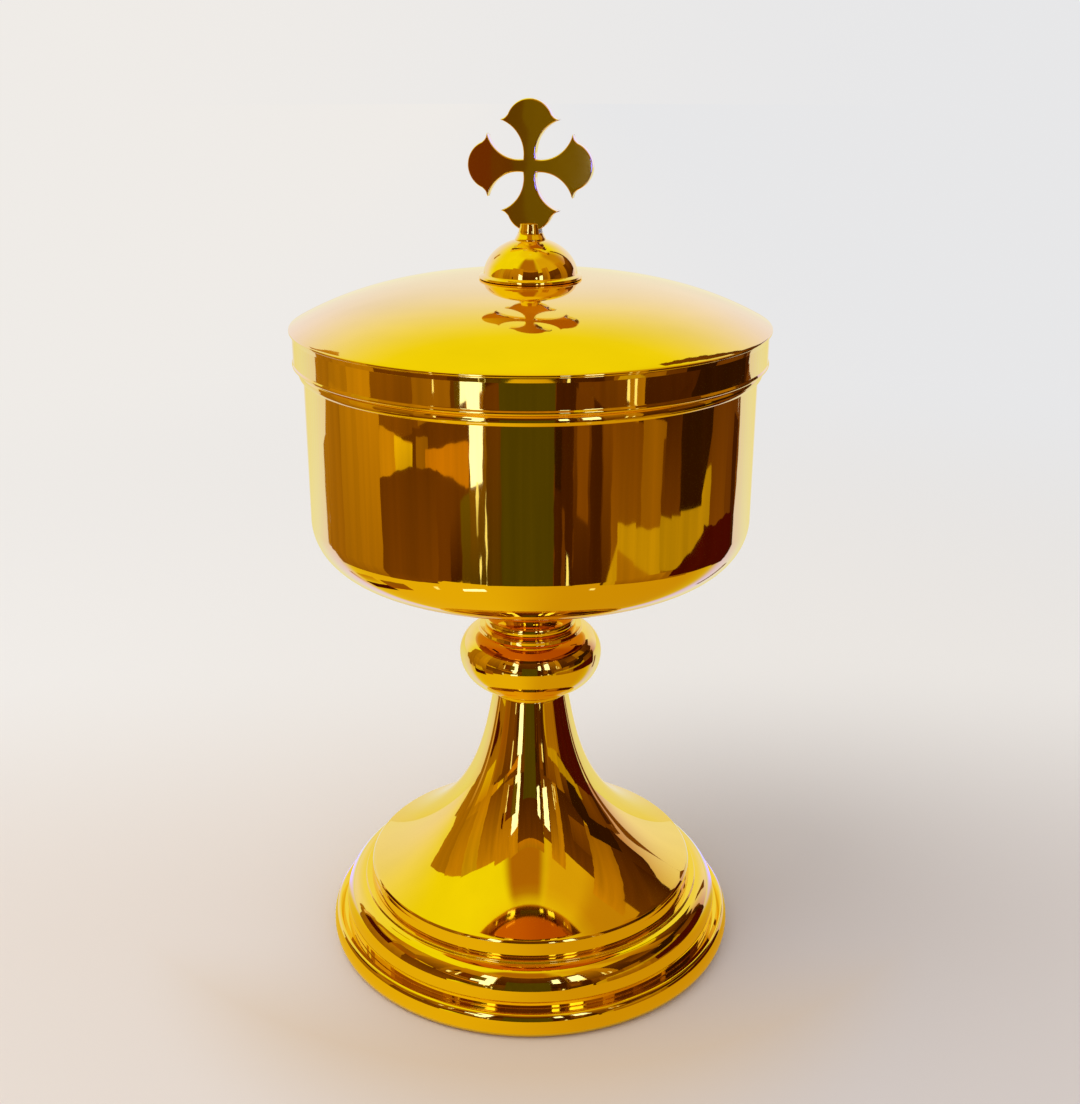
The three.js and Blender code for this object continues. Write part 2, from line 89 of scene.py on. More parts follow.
def colour(name, description, red, green, blue):
    return bpy.props.FloatVectorProperty(
        name=name, description=description, default=(red, green, blue),
        min=0.0, max=1.0, size=3, subtype="COLOR")


# Sizes and colours that a user would change

class CiboriumMetalwork(bpy.types.PropertyGroup):
    """What all spun and turned pieces share."""
    sheet: length("Sheet", "Wall of every spun shell", 1.2)
    facets: count("Facets", "Steps round the axis of a turned piece", 224)
    edge: length("Edge", "Radius of a polished edge", 0.3)
    film: length("Solder film", "Gap between two soldered rings", 0.2)
    clearance: length("Bolt clearance", "Gap round a threaded rod", 0.4)


class CiboriumFoot(bpy.types.PropertyGroup):
    """Foot ring, torus moulding and trumpet."""
    ring_bulge: length("Ring bulge", "How far the rounded edge of the foot ring stands out", 1.9)
    ring_lip: length("Ring lip", "Slope between the ring's crest and its shelf", 1.2)
    ring_shelf: length("Ring shelf", "Reach of the shelf under the moulding", 1.8)
    ledge: length("Ledge", "Flat ledge round the skirt", 1.8)
    fillet: length("Riser", "Height of the riser between ledge and torus", 0.8)
    neck: length("Moulding neck", "Height of the plain neck under the torus", 2.6)
    neck_inset: length("Neck inset", "How far that neck steps in", 0.5)
    seat: length("Trumpet seat", "Width of the flat under the skirt", 3.0)
    step: length("Skirt steps", "Height of the steps under the flare", 5.0)
    skirt_edge: length("Skirt edge", "Fall of the edge that the flare ends in", 0.6)
    skirt_band: length("Skirt band", "Height of the narrow band under that edge", 1.4)
    skirt_foot: length("Skirt foot", "Height of the upright that the skirt stands on", 0.85)
    skirt_inset: length("Skirt inset", "How far the narrow band stands in from it", 0.4)
    stem_radius: length("Stem radius", "Radius of the trumpet under the knop", 11.1)
    throat_lean: angle("Throat lean", "Slope of the trumpet there, from upright", 10.5)
    throat_hold: length("Throat hold", "How far the throat keeps to that slope", 18.4)
    flare_width: length("Flare width", "How far inside the skirt's edge the flare ends", 0.9)
    flare_pitch: angle("Flare pitch", "Slope of the flare at its foot, from level", 27.2)
    flare_hold: length("Flare hold", "How far the flare keeps to that slope", 36.0)


class CiboriumStem(bpy.types.PropertyGroup):
    """Knop and neck collar."""
    equator: length("Knop equator", "Height of the knop's widest place", 12.4)
    cove_height: length("Cove height", "Height of the hollow curve under the knop", 4.0)
    cove_radius: length("Cove radius", "Radius where the cove meets the round", 17.0)
    cove_angle: angle("Cove angle", "How far below the equator they meet", 53.0)
    foot_height: length("Knop foot", "Short cylinder on the stem", 0.6)
    foot_step: length("Knop foot step", "How far it stands out from the stem", 0.3)
    step_radius: length("Top step radius", "Radius of the small flat ring on top", 15.2)
    step_height: length("Top step height", "Height of that ring", 1.2)
    ring_height: length("Neck ring", "Height of the ring under the hollow neck", 2.9)
    ring_round: length("Neck ring round", "Bulge of that ring", 0.5)
    waist: length("Neck waist", "Smallest radius of the hollow neck", 8.9)
    top_radius: length("Neck top", "Radius under the bowl", 13.2)


class CiboriumCup(bpy.types.PropertyGroup):
    """Bowl and rim bead."""
    corner: length("Corner", "Radius of the turn between wall and bottom", 13.6)
    pitch: angle("Bottom slope", "Slope of the bottom where it meets the turn", 24.0)
    bead_width: length("Bead width", "How far the bead stands out", 1.1)


class CiboriumLid(bpy.types.PropertyGroup):
    """Dome, band and locating ring."""
    band_flare: length("Band flare", "How far the band widens at top and foot", 0.3)
    lip_height: length("Lip height", "Thickness of the dome's thin lip", 0.9)
    fullness: strength("Dome fullness", "Two is a round cap, more is flatter on top", 2.96)
    collar_wall: length("Locating ring", "Wall of the ring that drops into the cup", 1.0)


class CiboriumFinial(bpy.types.PropertyGroup):
    """Half ball, ferrule and cross."""
    flange: length("Flange", "Thin edge round the foot of the half ball", 1.2)
    flange_height: length("Flange height", "Its height", 0.5)
    ball_rise: length("Ball rise", "Height of the full half ball", 10.2)
    shoulder: length("Ferrule shoulder", "Ferrule radius half way up", 3.3)
    tip: length("Ferrule tip", "Ferrule radius at its top", 3.0)
    slot_depth: length("Slot depth", "Depth of the slot that holds the cross", 2.4)
    slot_clearance: length("Slot clearance", "Gap on each side of the cross in it", 0.3)
    bevel: length("Cross edge", "Polished edge of the cross", 0.35)
    neck_half: length("Arm neck", "Half the narrowest width of an arm", 1.62)
    neck_reach: length("Arm neck reach", "Its distance from the middle", 3.0)
    barb_reach: length("Barb reach", "Distance of the barbs from the middle", 11.6)
    barb_spread: length("Barb spread", "Distance of the barbs from the arm's line", 8.1)
    notch_reach: length("Notch reach", "Where the round end begins", 13.0)
    notch_spread: length("Notch spread", "Its distance from the arm's line", 5.9)


class CiboriumFinish(bpy.types.PropertyGroup):
    """Colours and polish."""
    gilt: colour("Gilt", "Colour of the polished gilding", 0.97, 0.69, 0.014)
    gilt_warm: colour("Warm gilt", "Redder tone in thin places", 0.95, 0.60, 0.010)
    # The underside colour is painted shade and painted reflection: a redder, darker base colour on the
    # faces under the bowl that look steeply down.
    under: colour("Underside", "Redder gilding under the bowl, where it isn't polished", 0.70, 0.24, 0.010)
    # The paler colour of the cross's edges is a painted highlight, standing in for the pale sheen that they
    # mirror.
    edge_sheen: colour("Worn edges", "Paler gilding on the edges of the cross", 0.97, 0.82, 0.34)
    satin: colour("Satin gilt", "Colour of the gilding on inner surfaces", 0.94, 0.66, 0.04)
    steel: colour("Steel", "Colour of the plated fixings", 0.62, 0.63, 0.64)
    polish: share("Polish", "Roughness of the mirror polish", 0.025)
    haze: share("Haze", "Extra roughness where hands and cloths have rubbed", 0.035)


class CiboriumStage(bpy.types.PropertyGroup):
    """Camera, floor, reflection panels and light."""
    focal: strength("Focal length", "Camera lens in millimetres, on a frame 36 mm high", 45.65)
    distance: length("Camera distance", "Level distance of the camera from the axis", 381.9)
    height: length("Camera height", "Height of the camera above the floor", 262.5)
    turn: angle("Camera turn", "How far the camera stands to the right of the cross's face", 15.0)
    pitch: angle("Camera pitch", "How far the camera looks down", 20.11)
    shift: bpy.props.FloatProperty(name="Shift", description="Sideways shift of the frame", default=0.0086)
    backdrop: colour("Backdrop", "Colour behind the object, on the left", 0.865, 0.835, 0.80)
    # On the floor's far glow this dim colour is painted shade; in the world it dims the light on the right.
    dim: colour("Dim side", "Colour behind the object, on the right", 0.80, 0.80, 0.81)
    floor: colour("Floor", "Colour of the floor in front, on the left", 0.755, 0.69, 0.635)
    # The dim floor colour is painted shade: the front of the floor is darker on the right.
    floor_dim: colour("Dim floor", "Its colour in front, on the right", 0.65, 0.60, 0.575)
    floor_back: colour("Floor behind", "Its colour behind the object", 0.82, 0.80, 0.775)
    # The warm floor colour is a painted glow: light thrown onto the floor by the gilding.
    floor_gilt_glow: colour("Warm floor", "Its colour in front of the gilt foot", 0.68, 0.54, 0.39)
    ahead: length("Panels ahead", "Distance of the reflection panels on the camera's side", 410.0)
    aside: length("Panels aside", "Their distance on both sides", 255.0)
    sway: angle("Sway", "How uneven the upright edges of the panels are", 0.4)
    ripple: length("Ripple", "How uneven their upper edges are", 1.2)
    tent: length("Tent", "Radius of the tent that the metal mirrors", 2500.0)


GROUPS = {
    "metalwork": CiboriumMetalwork,
    "foot": CiboriumFoot,
    "stem": CiboriumStem,
    "cup": CiboriumCup,
    "lid": CiboriumLid,
    "finial": CiboriumFinial,
    "finish": CiboriumFinish,
    "stage": CiboriumStage,
}


class CiboriumSettings(bpy.types.PropertyGroup):
    """All sizes and colours."""
    __annotations__ = {name: bpy.props.PointerProperty(type=kind) for name, kind in GROUPS.items()}


# Outlines: points of radius and height, anticlockwise, in metres
SOFTENED_TURN = 18  # degrees; a sharper corner is rounded
SOFT_STEP = 22  # degrees between the points of that round
SOFT_REACH = 0.45  # the most of a side that it takes up
BRACES = (0.08 * MM, 0.25 * MM, 0.7 * MM, 2.0 * MM)  # distances from a bend
BRACED_TURN = 1.2  # degrees; a sharper bend is braced
BRACED_SIDE = 1.2 * MM  # the shortest side that is braced
BRACED_SHARE = 0.4  # of a side, at either end


class Span:
    """Radius, bottom and top of a round CAD node."""

    def __init__(self, node):
        low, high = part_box(node)
        self.radius = high[0]
        self.bottom = low[2]
        self.top = high[2]
        self.height = high[2] - low[2]


def arc(r, z, across, up, start, end, step=6.0):
    """Part of an ellipse; the angles are degrees from outwards towards up."""
    steps = max(2, math.ceil(abs(end - start) / step))
    turns = [math.radians(start + (end - start) * i / steps) for i in range(steps + 1)]
    return [(r + across * math.cos(turn), z + up * math.sin(turn)) for turn in turns]


def bezier(a, b, c, d, steps=24):
    points = []
    for i in range(steps + 1):
        t = i / steps
        s = 1 - t
        weights = (s ** 3, 3 * s * s * t, 3 * s * t * t, t ** 3)
        points.append(tuple(
            sum(weight * corner[axis] for weight, corner in zip(weights, (a, b, c, d)))
            for axis in (0, 1)))
    return points


def offset(line, distance):
    """The same smooth line moved to the right of its direction."""
    moved = []
    for i, (r, z) in enumerate(line):
        before = Vector(line[max(i - 1, 0)])
        after = Vector(line[min(i + 1, len(line) - 1)])
        along = (after - before).normalized()
        moved.append((r + along.y * distance, z - along.x * distance))
    return moved


def softened(corners, radius):
    """Rounds each sharp corner of a closed outline, away from the axis, by a small arc."""
    rounded = []
    total = len(corners)
    for i, corner in enumerate(corners):
        here = Vector(corner)
        back = Vector(corners[i - 1]) - here
        ahead = Vector(corners[(i + 1) % total]) - here
        turn = math.pi - back.angle(ahead, math.pi)
        if here.x < radius or turn < math.radians(SOFTENED_TURN):
            rounded.append(corner)
            continue
        reach = min(radius * math.tan(turn / 2), SOFT_REACH * back.length, SOFT_REACH * ahead.length)
        start = here + back.normalized() * reach
        end = here + ahead.normalized() * reach
        steps = max(2, math.ceil(math.degrees(turn) / SOFT_STEP))
        for j in range(steps + 1):
            t = j / steps
            rounded.append(tuple(start * (1 - t) ** 2 + here * 2 * t * (1 - t) + end * t * t))
    return rounded


def braced(outline):
    """Adds points beside the bends at the ends of long straight sides, so that shading stays true there."""
    bend = math.radians(BRACED_TURN)
    total = len(outline)
    sides = [Vector(outline[(i + 1) % total]) - Vector(outline[i]) for i in range(total)]
    finished = []
    for i, along in enumerate(sides):
        here = Vector(outline[i])
        finished.append(outline[i])
        near = [d for d in BRACES if d < BRACED_SHARE * along.length and along.length > BRACED_SIDE]
        stops = near if sides[i - 1].angle(along, 0.0) > bend else []
        if along.angle(sides[(i + 1) % total], 0.0) > bend:
            stops = stops + [along.length - d for d in reversed(near)]
        finished.extend(tuple(here + along.normalized() * stop) for stop in stops)
    return finished


# Node trees
SHARP_ANGLE = 50  # degrees between faces; sharper edges aren't smoothed
WELD = 0.0005 * MM


def add_node(tree, kind, inputs=None, **settings):
    """Adds a node; an input's value is a number, a colour or another node's socket."""
    made = tree.nodes.new(kind)
    for name, value in settings.items():
        setattr(made, name, value)
    for name, value in (inputs or {}).items():
        if isinstance(value, bpy.types.NodeSocket):
            tree.links.new(value, made.inputs[name])
        else:
            made.inputs[name].default_value = value
    return made


def maths(tree, operation, first, second=0.0):
    """The result of one sum on two numbers or sockets."""
    return add_node(tree, "ShaderNodeMath", {0: first, 1: second}, operation=operation).outputs[0]


def fade(tree, value, start, end, curve="SMOOTHSTEP", low=0.0, high=1.0):
    """Goes from low at the start to high at the end."""
    return add_node(tree, "ShaderNodeMapRange", {
        "Value": value, "From Min": start, "From Max": end, "To Min": low, "To Max": high,
    }, interpolation_type=curve).outputs[0]


def mixed(tree, amount, first, second):
    """A blend of two colours, each given as a colour or as a socket."""
    made = add_node(tree, "ShaderNodeMix", {"Factor": amount}, data_type="RGBA")
    for socket, value in ((made.inputs[6], first), (made.inputs[7], second)):
        if isinstance(value, bpy.types.NodeSocket):
            tree.links.new(value, socket)
        else:
            socket.default_value = (*value, 1.0)
    return made.outputs[2]


def reach_towards(tree, place, direction):
    """How far a place lies in a level direction."""
    node = add_node(tree, "ShaderNodeVectorMath", {0: place, 1: (*direction, 0.0)}, operation="DOT_PRODUCT")
    return node.outputs["Value"]


def noise(tree, place, scale, detail, roughness=0.5):
    return add_node(tree, "ShaderNodeTexNoise", {
        "Vector": place, "Scale": scale, "Detail": detail, "Roughness": roughness}).outputs[0]


def add_sockets(tree, side, kind, names):
    """Gives a node group its named inputs or outputs of one kind."""
    for name in names:
        tree.interface.new_socket(name, in_out=side, socket_type=f"NodeSocket{kind}")


def turned_tree():
    """Geometry Nodes: revolves an outline round the axis, welds its seam, smooths all but sharp edges."""
    tree = bpy.data.node_groups.new("turned piece", "GeometryNodeTree")
    inputs = {"Geometry": "Outline", "Int": "Facets", "Float": "Sharp angle", "Material": "Finish"}
    for kind, name in inputs.items():
        add_sockets(tree, "INPUT", kind, [name])
    add_sockets(tree, "OUTPUT", "Geometry", ["Piece"])
    given = add_node(tree, "NodeGroupInput")
    corners = add_node(tree, "GeometryNodeAttributeDomainSize", {"Geometry": given.outputs["Outline"]})

    def integers(operation, first, second):
        node = add_node(tree, "FunctionNodeIntegerMath", {0: first, 1: second}, operation=operation)
        return node.outputs[0]

    rows = integers("ADD", given.outputs["Facets"], 1)
    grid = add_node(tree, "GeometryNodeMeshGrid", {
        "Vertices X": corners.outputs["Point Count"], "Vertices Y": rows})
    index = add_node(tree, "GeometryNodeInputIndex").outputs[0]
    sample = add_node(tree, "GeometryNodeSampleIndex", {
        "Geometry": given.outputs["Outline"],
        "Value": add_node(tree, "GeometryNodeInputPosition").outputs[0],
        "Index": integers("DIVIDE_FLOOR", index, rows)}, data_type="FLOAT_VECTOR")
    place = add_node(tree, "ShaderNodeSeparateXYZ", {0: sample.outputs[0]})
    step = maths(tree, "DIVIDE", FULL_TURN, given.outputs["Facets"])
    turn = maths(tree, "MULTIPLY", integers("MODULO", index, rows), step)
    position = add_node(tree, "ShaderNodeCombineXYZ", {
        "X": maths(tree, "MULTIPLY", place.outputs["X"], maths(tree, "COSINE", turn)),
        "Y": maths(tree, "MULTIPLY", place.outputs["X"], maths(tree, "SINE", turn)),
        "Z": place.outputs["Z"]})
    shaped = add_node(tree, "GeometryNodeSetPosition", {
        "Geometry": grid.outputs["Mesh"], "Position": position.outputs[0]})
    closed = add_node(tree, "GeometryNodeMergeByDistance", {
        "Geometry": shaped.outputs[0], "Distance": WELD})
    outward = add_node(tree, "GeometryNodeFlipFaces", {"Mesh": closed.outputs[0]})
    smooth = add_node(tree, "GeometryNodeSetShadeSmooth", {"Geometry": outward.outputs[0]})
    edge_angle = add_node(tree, "GeometryNodeInputMeshEdgeAngle").outputs["Unsigned Angle"]
    sharp = maths(tree, "GREATER_THAN", edge_angle, given.outputs["Sharp angle"])
    creased = add_node(tree, "GeometryNodeSetShadeSmooth", {
        "Geometry": smooth.outputs[0], "Selection": sharp, "Shade Smooth": False}, domain="EDGE")
    real = add_node(tree, "GeometryNodeRealizeInstances", {"Geometry": creased.outputs[0]})
    dressed = add_node(tree, "GeometryNodeSetMaterial", {
        "Geometry": real.outputs[0], "Material": given.outputs["Finish"]})
    add_node(tree, "NodeGroupOutput", {"Piece": dressed.outputs[0]})
    return tree


def tree_named(name, build):
    return bpy.data.node_groups.get(name) or build()


def set_input(modifier, tree, name, value):
    """Sets a modifier's input by its socket's identifier."""
    socket = next(s for s in tree.interface.items_tree if s.name == name and s.in_out == "INPUT")
    modifier[socket.identifier] = value


def applied(piece):
    """Turns a piece and its modifiers into a plain mesh."""
    depsgraph = bpy.context.evaluated_depsgraph_get()
    mesh = bpy.data.meshes.new_from_object(piece.evaluated_get(depsgraph), depsgraph=depsgraph)
    piece.modifiers.clear()
    old = piece.data
    piece.data = mesh
    bpy.data.meshes.remove(old)
    mesh.name = piece.name
    return piece


def node_material(name):
    material = bpy.data.materials.new(name)
    material.use_nodes = True
    return material


def mesh_of(name, shape):
    """The mesh of a bmesh, which is freed."""
    mesh = bpy.data.meshes.new(name)
    shape.to_mesh(mesh)
    shape.free()
    return mesh


def new_object(name, mesh):
    made = bpy.data.objects.new(name, mesh)
    bpy.context.scene.collection.objects.link(made)
    return made


def turned(name, outline, finish, edge=None):
    """A turned piece from a closed outline of radius and height."""
    metalwork = bpy.context.scene.ciborium.metalwork
    corners = braced(softened(outline, metalwork.edge if edge is None else edge))
    corners.append(corners[0])
    mesh = bpy.data.meshes.new(name)
    mesh.from_pydata([(r, 0.0, z) for r, z in corners], [(i, i + 1) for i in range(len(corners) - 1)], [])
    piece = new_object(name, mesh)
    tree = tree_named("turned piece", turned_tree)
    modifier = piece.modifiers.new("turned piece", "NODES")
    modifier.node_group = tree
    set_input(modifier, tree, "Facets", metalwork.facets)
    set_input(modifier, tree, "Sharp angle", math.radians(SHARP_ANGLE))
    set_input(modifier, tree, "Finish", finish)
    return applied(piece)


def seated(piece, body, slot, *nodes):
    """The piece moves with its body and stands for its CAD nodes; the slot is not used."""
    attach(piece, body)
    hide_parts(*nodes)
    return piece


def gilt_piece(node, outline, body, finish=None, edge=None):
    """A turned piece in the place of a CAD node."""
    return seated(turned(f"{node}_gilt", outline, finish or mirror_gilt(), edge), body, "gilt", node)


# Finishes: depths of the marks in metres, and how many of them there are to a metre
FINE_RINGS = 2e-7
COARSE_RINGS = 2e-6
DEEP_RINGS = 3e-6
SOFT_WAVES = 4e-6
FLAT_MARKS = {"ring_depth": 0.0, "wave_depth": 3e-6, "wave_scale": 90.0}
POLISH_INPUTS = ("Ring scale", "Wave scale", "Ring depth", "Wave depth")
RING_SCALE = 900.0
SMUDGE_SCALE = 38.0
PATCH_SCALE = 16.0
HAZE_LEVELS = (0.42, 0.72)  # of the noise, between which the smudges and the patches set in
TONE_LEVELS = (0.35, 0.75)
# Faces that look further down than this get the painted shade of the bowl's underside.
STEEPLY_DOWN = (-0.7, -0.9)  # upward part of the normal
STAINED_STEEL = (0.5, 0.48, 0.43)


def hand_polish_group():
    """Shader group: fine rings from turning, soft waves and rubbed patches, as height, haze and tone."""
    tree = bpy.data.node_groups.new("hand polish", "ShaderNodeTree")
    add_sockets(tree, "INPUT", "Float", POLISH_INPUTS)
    add_sockets(tree, "OUTPUT", "Float", ["Height", "Haze", "Tone"])
    given = add_node(tree, "NodeGroupInput").outputs
    place = add_node(tree, "ShaderNodeTexCoord").outputs["Object"]
    axes = add_node(tree, "ShaderNodeSeparateXYZ", {0: place}).outputs
    squares = maths(tree, "ADD", maths(tree, "POWER", axes["X"], 2.0), maths(tree, "POWER", axes["Y"], 2.0))
    level = add_node(tree, "ShaderNodeCombineXYZ", {
        "X": maths(tree, "SQRT", squares), "Y": 0.0, "Z": axes["Z"]}).outputs[0]
    rings = noise(tree, level, given["Ring scale"], detail=3.0, roughness=0.6)
    waves = noise(tree, place, given["Wave scale"], detail=1.0, roughness=0.4)
    height = maths(tree, "ADD",
                   maths(tree, "MULTIPLY", rings, given["Ring depth"]),
                   maths(tree, "MULTIPLY", waves, given["Wave depth"]))
    smudges = noise(tree, place, SMUDGE_SCALE, detail=5.0, roughness=0.62)
    patches = noise(tree, place, PATCH_SCALE, detail=2.0)
    haze = fade(tree, smudges, *HAZE_LEVELS, curve="LINEAR")
    tone = fade(tree, patches, *TONE_LEVELS, curve="LINEAR")
    add_node(tree, "NodeGroupOutput", {"Height": height, "Haze": haze, "Tone": tone})
    return tree


def painted_underside_shade_group():
    """Shader group: a mask of the parts of a surface that face steeply down, where painted shade goes."""
    tree = bpy.data.node_groups.new("painted_underside_shade", "ShaderNodeTree")
    add_sockets(tree, "OUTPUT", "Float", ["Mask"])
    normal = add_node(tree, "ShaderNodeTexCoord").outputs["Normal"]
    axes = add_node(tree, "ShaderNodeSeparateXYZ", {0: normal})
    add_node(tree, "NodeGroupOutput", {"Mask": fade(tree, axes.outputs["Z"], *STEEPLY_DOWN)})
    return tree


def metal_finish(name, light, warm, polish, haze, ring_depth, wave_depth,
                 wave_scale=60.0, warmth=0.25, under=None):
    """A polished metal whose tone, haze and surface vary slightly; an under colour is painted shade on the
    faces that look steeply down.
    """
    material = bpy.data.materials.get(name)
    if material:
        return material
    material = node_material(name)
    tree = material.node_tree
    shader = tree.nodes["Principled BSDF"]
    marks = add_node(tree, "ShaderNodeGroup", node_tree=tree_named("hand polish", hand_polish_group))
    for socket, value in zip(POLISH_INPUTS, (RING_SCALE, wave_scale, ring_depth, wave_depth)):
        marks.inputs[socket].default_value = value
    tint = mixed(tree, maths(tree, "MULTIPLY", marks.outputs["Tone"], warmth), light, warm)
    # Painted shade: faces that look steeply down take the darker, redder under colour.
    if under:
        below = add_node(tree, "ShaderNodeGroup", node_tree=tree_named("painted_underside_shade", painted_underside_shade_group))
        tint = mixed(tree, below.outputs["Mask"], tint, under)
    tree.links.new(tint, shader.inputs["Base Color"])
    shader.inputs["Metallic"].default_value = 1.0
    extra = maths(tree, "MULTIPLY", marks.outputs["Haze"], haze)
    tree.links.new(maths(tree, "ADD", extra, polish), shader.inputs["Roughness"])
    height = marks.outputs["Height"]
    bump = add_node(tree, "ShaderNodeBump", {"Strength": 1.0, "Distance": 1.0, "Height": height})
    tree.links.new(bump.outputs[0], shader.inputs["Normal"])
    return material


def mirror_gilt(name="mirror gilt", **more):
    finish = bpy.context.scene.ciborium.finish
    marks = {"ring_depth": FINE_RINGS, "wave_depth": SOFT_WAVES, **more}
    return metal_finish(name, finish.gilt, finish.gilt_warm, finish.polish, finish.haze, **marks)


# The bowl's gilding, with painted shade on its faces that look steeply down.
def bowl_gilt_with_painted_shade():
    return mirror_gilt("bowl gilt", under=bpy.context.scene.ciborium.finish.under)


def flat_gilt():
    return mirror_gilt("flat gilt", **FLAT_MARKS)


# The cross's edges: a paler base colour, a painted highlight.
def edge_gilt():
    finish = bpy.context.scene.ciborium.finish
    return metal_finish("edge gilt", finish.edge_sheen, finish.gilt, polish=0.06, haze=0.1, **FLAT_MARKS)


def satin_gilt():
    finish = bpy.context.scene.ciborium.finish
    return metal_finish(
        "satin gilt", finish.satin, finish.gilt_warm, polish=0.2, haze=0.12,
        ring_depth=COARSE_RINGS, wave_depth=SOFT_WAVES)


def plated_steel():
    finish = bpy.context.scene.ciborium.finish
    return metal_finish(
        "plated steel", finish.steel, STAINED_STEEL, polish=0.28, haze=0.2,
        ring_depth=DEEP_RINGS, wave_depth=SOFT_WAVES, warmth=0.6)


# Foot
FINE_STEPS = 96  # points of the trumpet's flare
UNDER_LEDGE = 85  # degrees at which the inside of the torus meets the flat under its ledge


def foot_ring_outline(foot):
    ring = Span("foot_ring")
    moulding = Span("foot_moulding")
    shelf = moulding.bottom
    bulge = ring.radius - foot.ring_bulge
    inside = moulding.radius - foot.neck_inset - foot.ring_shelf
    return [
        (inside, 0.0),
        *arc(bulge, ring.height / 2, foot.ring_bulge, ring.height / 2, -90, 90),
        (bulge - foot.ring_lip, shelf), (inside, shelf),
    ]


def foot_moulding_outline(foot, sheet):
    moulding = Span("foot_moulding")
    skirt = Span("foot_trumpet").radius
    base = moulding.bottom
    ledge = skirt + foot.ledge
    neck = moulding.radius - foot.neck_inset
    shoulder = base + foot.neck
    across = moulding.radius - ledge
    up = moulding.height - foot.fillet - foot.neck
    return [
        (neck, base), (neck, shoulder - foot.neck_inset),
        *arc(ledge, shoulder, across, up, 0, 90),
        (ledge, moulding.top), (skirt - foot.seat, moulding.top),
        (skirt - foot.seat, moulding.top - sheet), (ledge - sheet, moulding.top - sheet),
        *arc(ledge - sheet, shoulder, across, up - sheet, UNDER_LEDGE, 0),
        (neck - sheet, shoulder - foot.neck_inset), (neck - sheet, base),
    ]


def foot_trumpet_outline(foot, sheet, hole):
    trumpet = Span("foot_trumpet")
    base = trumpet.bottom
    band_radius = trumpet.radius - foot.skirt_inset
    band_top = base + foot.step - foot.skirt_edge
    band_foot = band_top - foot.skirt_band
    upright = base + foot.skirt_foot
    throat = (foot.stem_radius, trumpet.top)
    flare_foot = (trumpet.radius - foot.flare_width, base + foot.step)
    flare = bezier(
        throat,
        (throat[0] + foot.throat_hold * math.sin(foot.throat_lean),
         throat[1] - foot.throat_hold * math.cos(foot.throat_lean)),
        (flare_foot[0] - foot.flare_hold * math.cos(foot.flare_pitch),
         flare_foot[1] + foot.flare_hold * math.sin(foot.flare_pitch)),
        flare_foot, FINE_STEPS)
    outside = [
        (hole, trumpet.top),
        *flare,
        (band_radius, band_top), (band_radius, band_foot), (trumpet.radius, upright),
        (trumpet.radius, base),
    ]
    crown = trumpet.top - sheet
    lining = [(r, z) for r, z in offset(flare, sheet) if z < crown]
    inside = [
        (trumpet.radius - sheet, base), (trumpet.radius - sheet, upright),
        (band_radius - sheet, band_foot),
        *reversed(lining),
        (lining[0][0], crown), (hole, crown),
    ]
    return list(reversed(outside + inside))


class CIBORIUM_OT_foot(bpy.types.Operator):
    """Make the foot: ring, torus moulding and trumpet"""
    bl_idname = "ciborium.foot"
    bl_label = "Foot"

    def execute(self, context):
        settings = context.scene.ciborium
        sheet = settings.metalwork.sheet
        hole = Span("tie_rod").radius + settings.metalwork.clearance
        outlines = {
            "foot_ring": foot_ring_outline(settings.foot),
            "foot_moulding": foot_moulding_outline(settings.foot, sheet),
            "foot_trumpet": foot_trumpet_outline(settings.foot, sheet, hole),
        }
        for node, outline in outlines.items():
            gilt_piece(node, outline, "vessel")
        return {"FINISHED"}


# Stem: how far the hollow curves keep to their slopes at both ends
KNOP_SHOULDER = 1.0 * MM  # reach of the knop's upper round inside its flat ring
COVE_START = 1.2 * MM
COVE_RUN = 2.4 * MM
COVE_RISE = 1.8 * MM
NECK_RING_FLAT = 0.5 * MM
NECK_FOOT_RUN = 0.8 * MM
NECK_FOOT_RISE = 0.6 * MM
NECK_WAIST_SHARE = 0.4  # where the waist is, as a share of the hollow's height
NECK_WAIST_BELOW = 1.6 * MM
NECK_WAIST_ABOVE = 2.4 * MM
NECK_TOP_RUN = 2.4 * MM
NECK_TOP_RISE = 1.1 * MM
COVE_STEPS = 14


def knop_outline(stem, stem_radius, hole):
    knop = Span("knop")
    base = knop.bottom
    foot_radius = stem_radius + stem.foot_step
    low_across = (knop.radius - stem.cove_radius) / (1 - math.cos(stem.cove_angle))
    low_up = (stem.equator - stem.cove_height) / math.sin(stem.cove_angle)
    centre = stem.step_radius - KNOP_SHOULDER
    high_across = knop.radius - centre
    high_up = knop.height - stem.step_height - stem.equator
    meet = math.degrees(math.acos((stem.step_radius - centre) / high_across))
    return [
        (hole, base), (foot_radius, base),
        *bezier(
            (foot_radius, base + stem.foot_height),
            (foot_radius, base + stem.foot_height + COVE_START),
            (stem.cove_radius - COVE_RUN, base + stem.cove_height - COVE_RISE),
            (stem.cove_radius, base + stem.cove_height), COVE_STEPS)[:-1],
        *arc(knop.radius - low_across, base + stem.equator, low_across, low_up,
             -math.degrees(stem.cove_angle), 0),
        *arc(centre, base + stem.equator, high_across, high_up, 0, meet)[1:],
        (stem.step_radius, knop.top), (hole, knop.top),
    ]


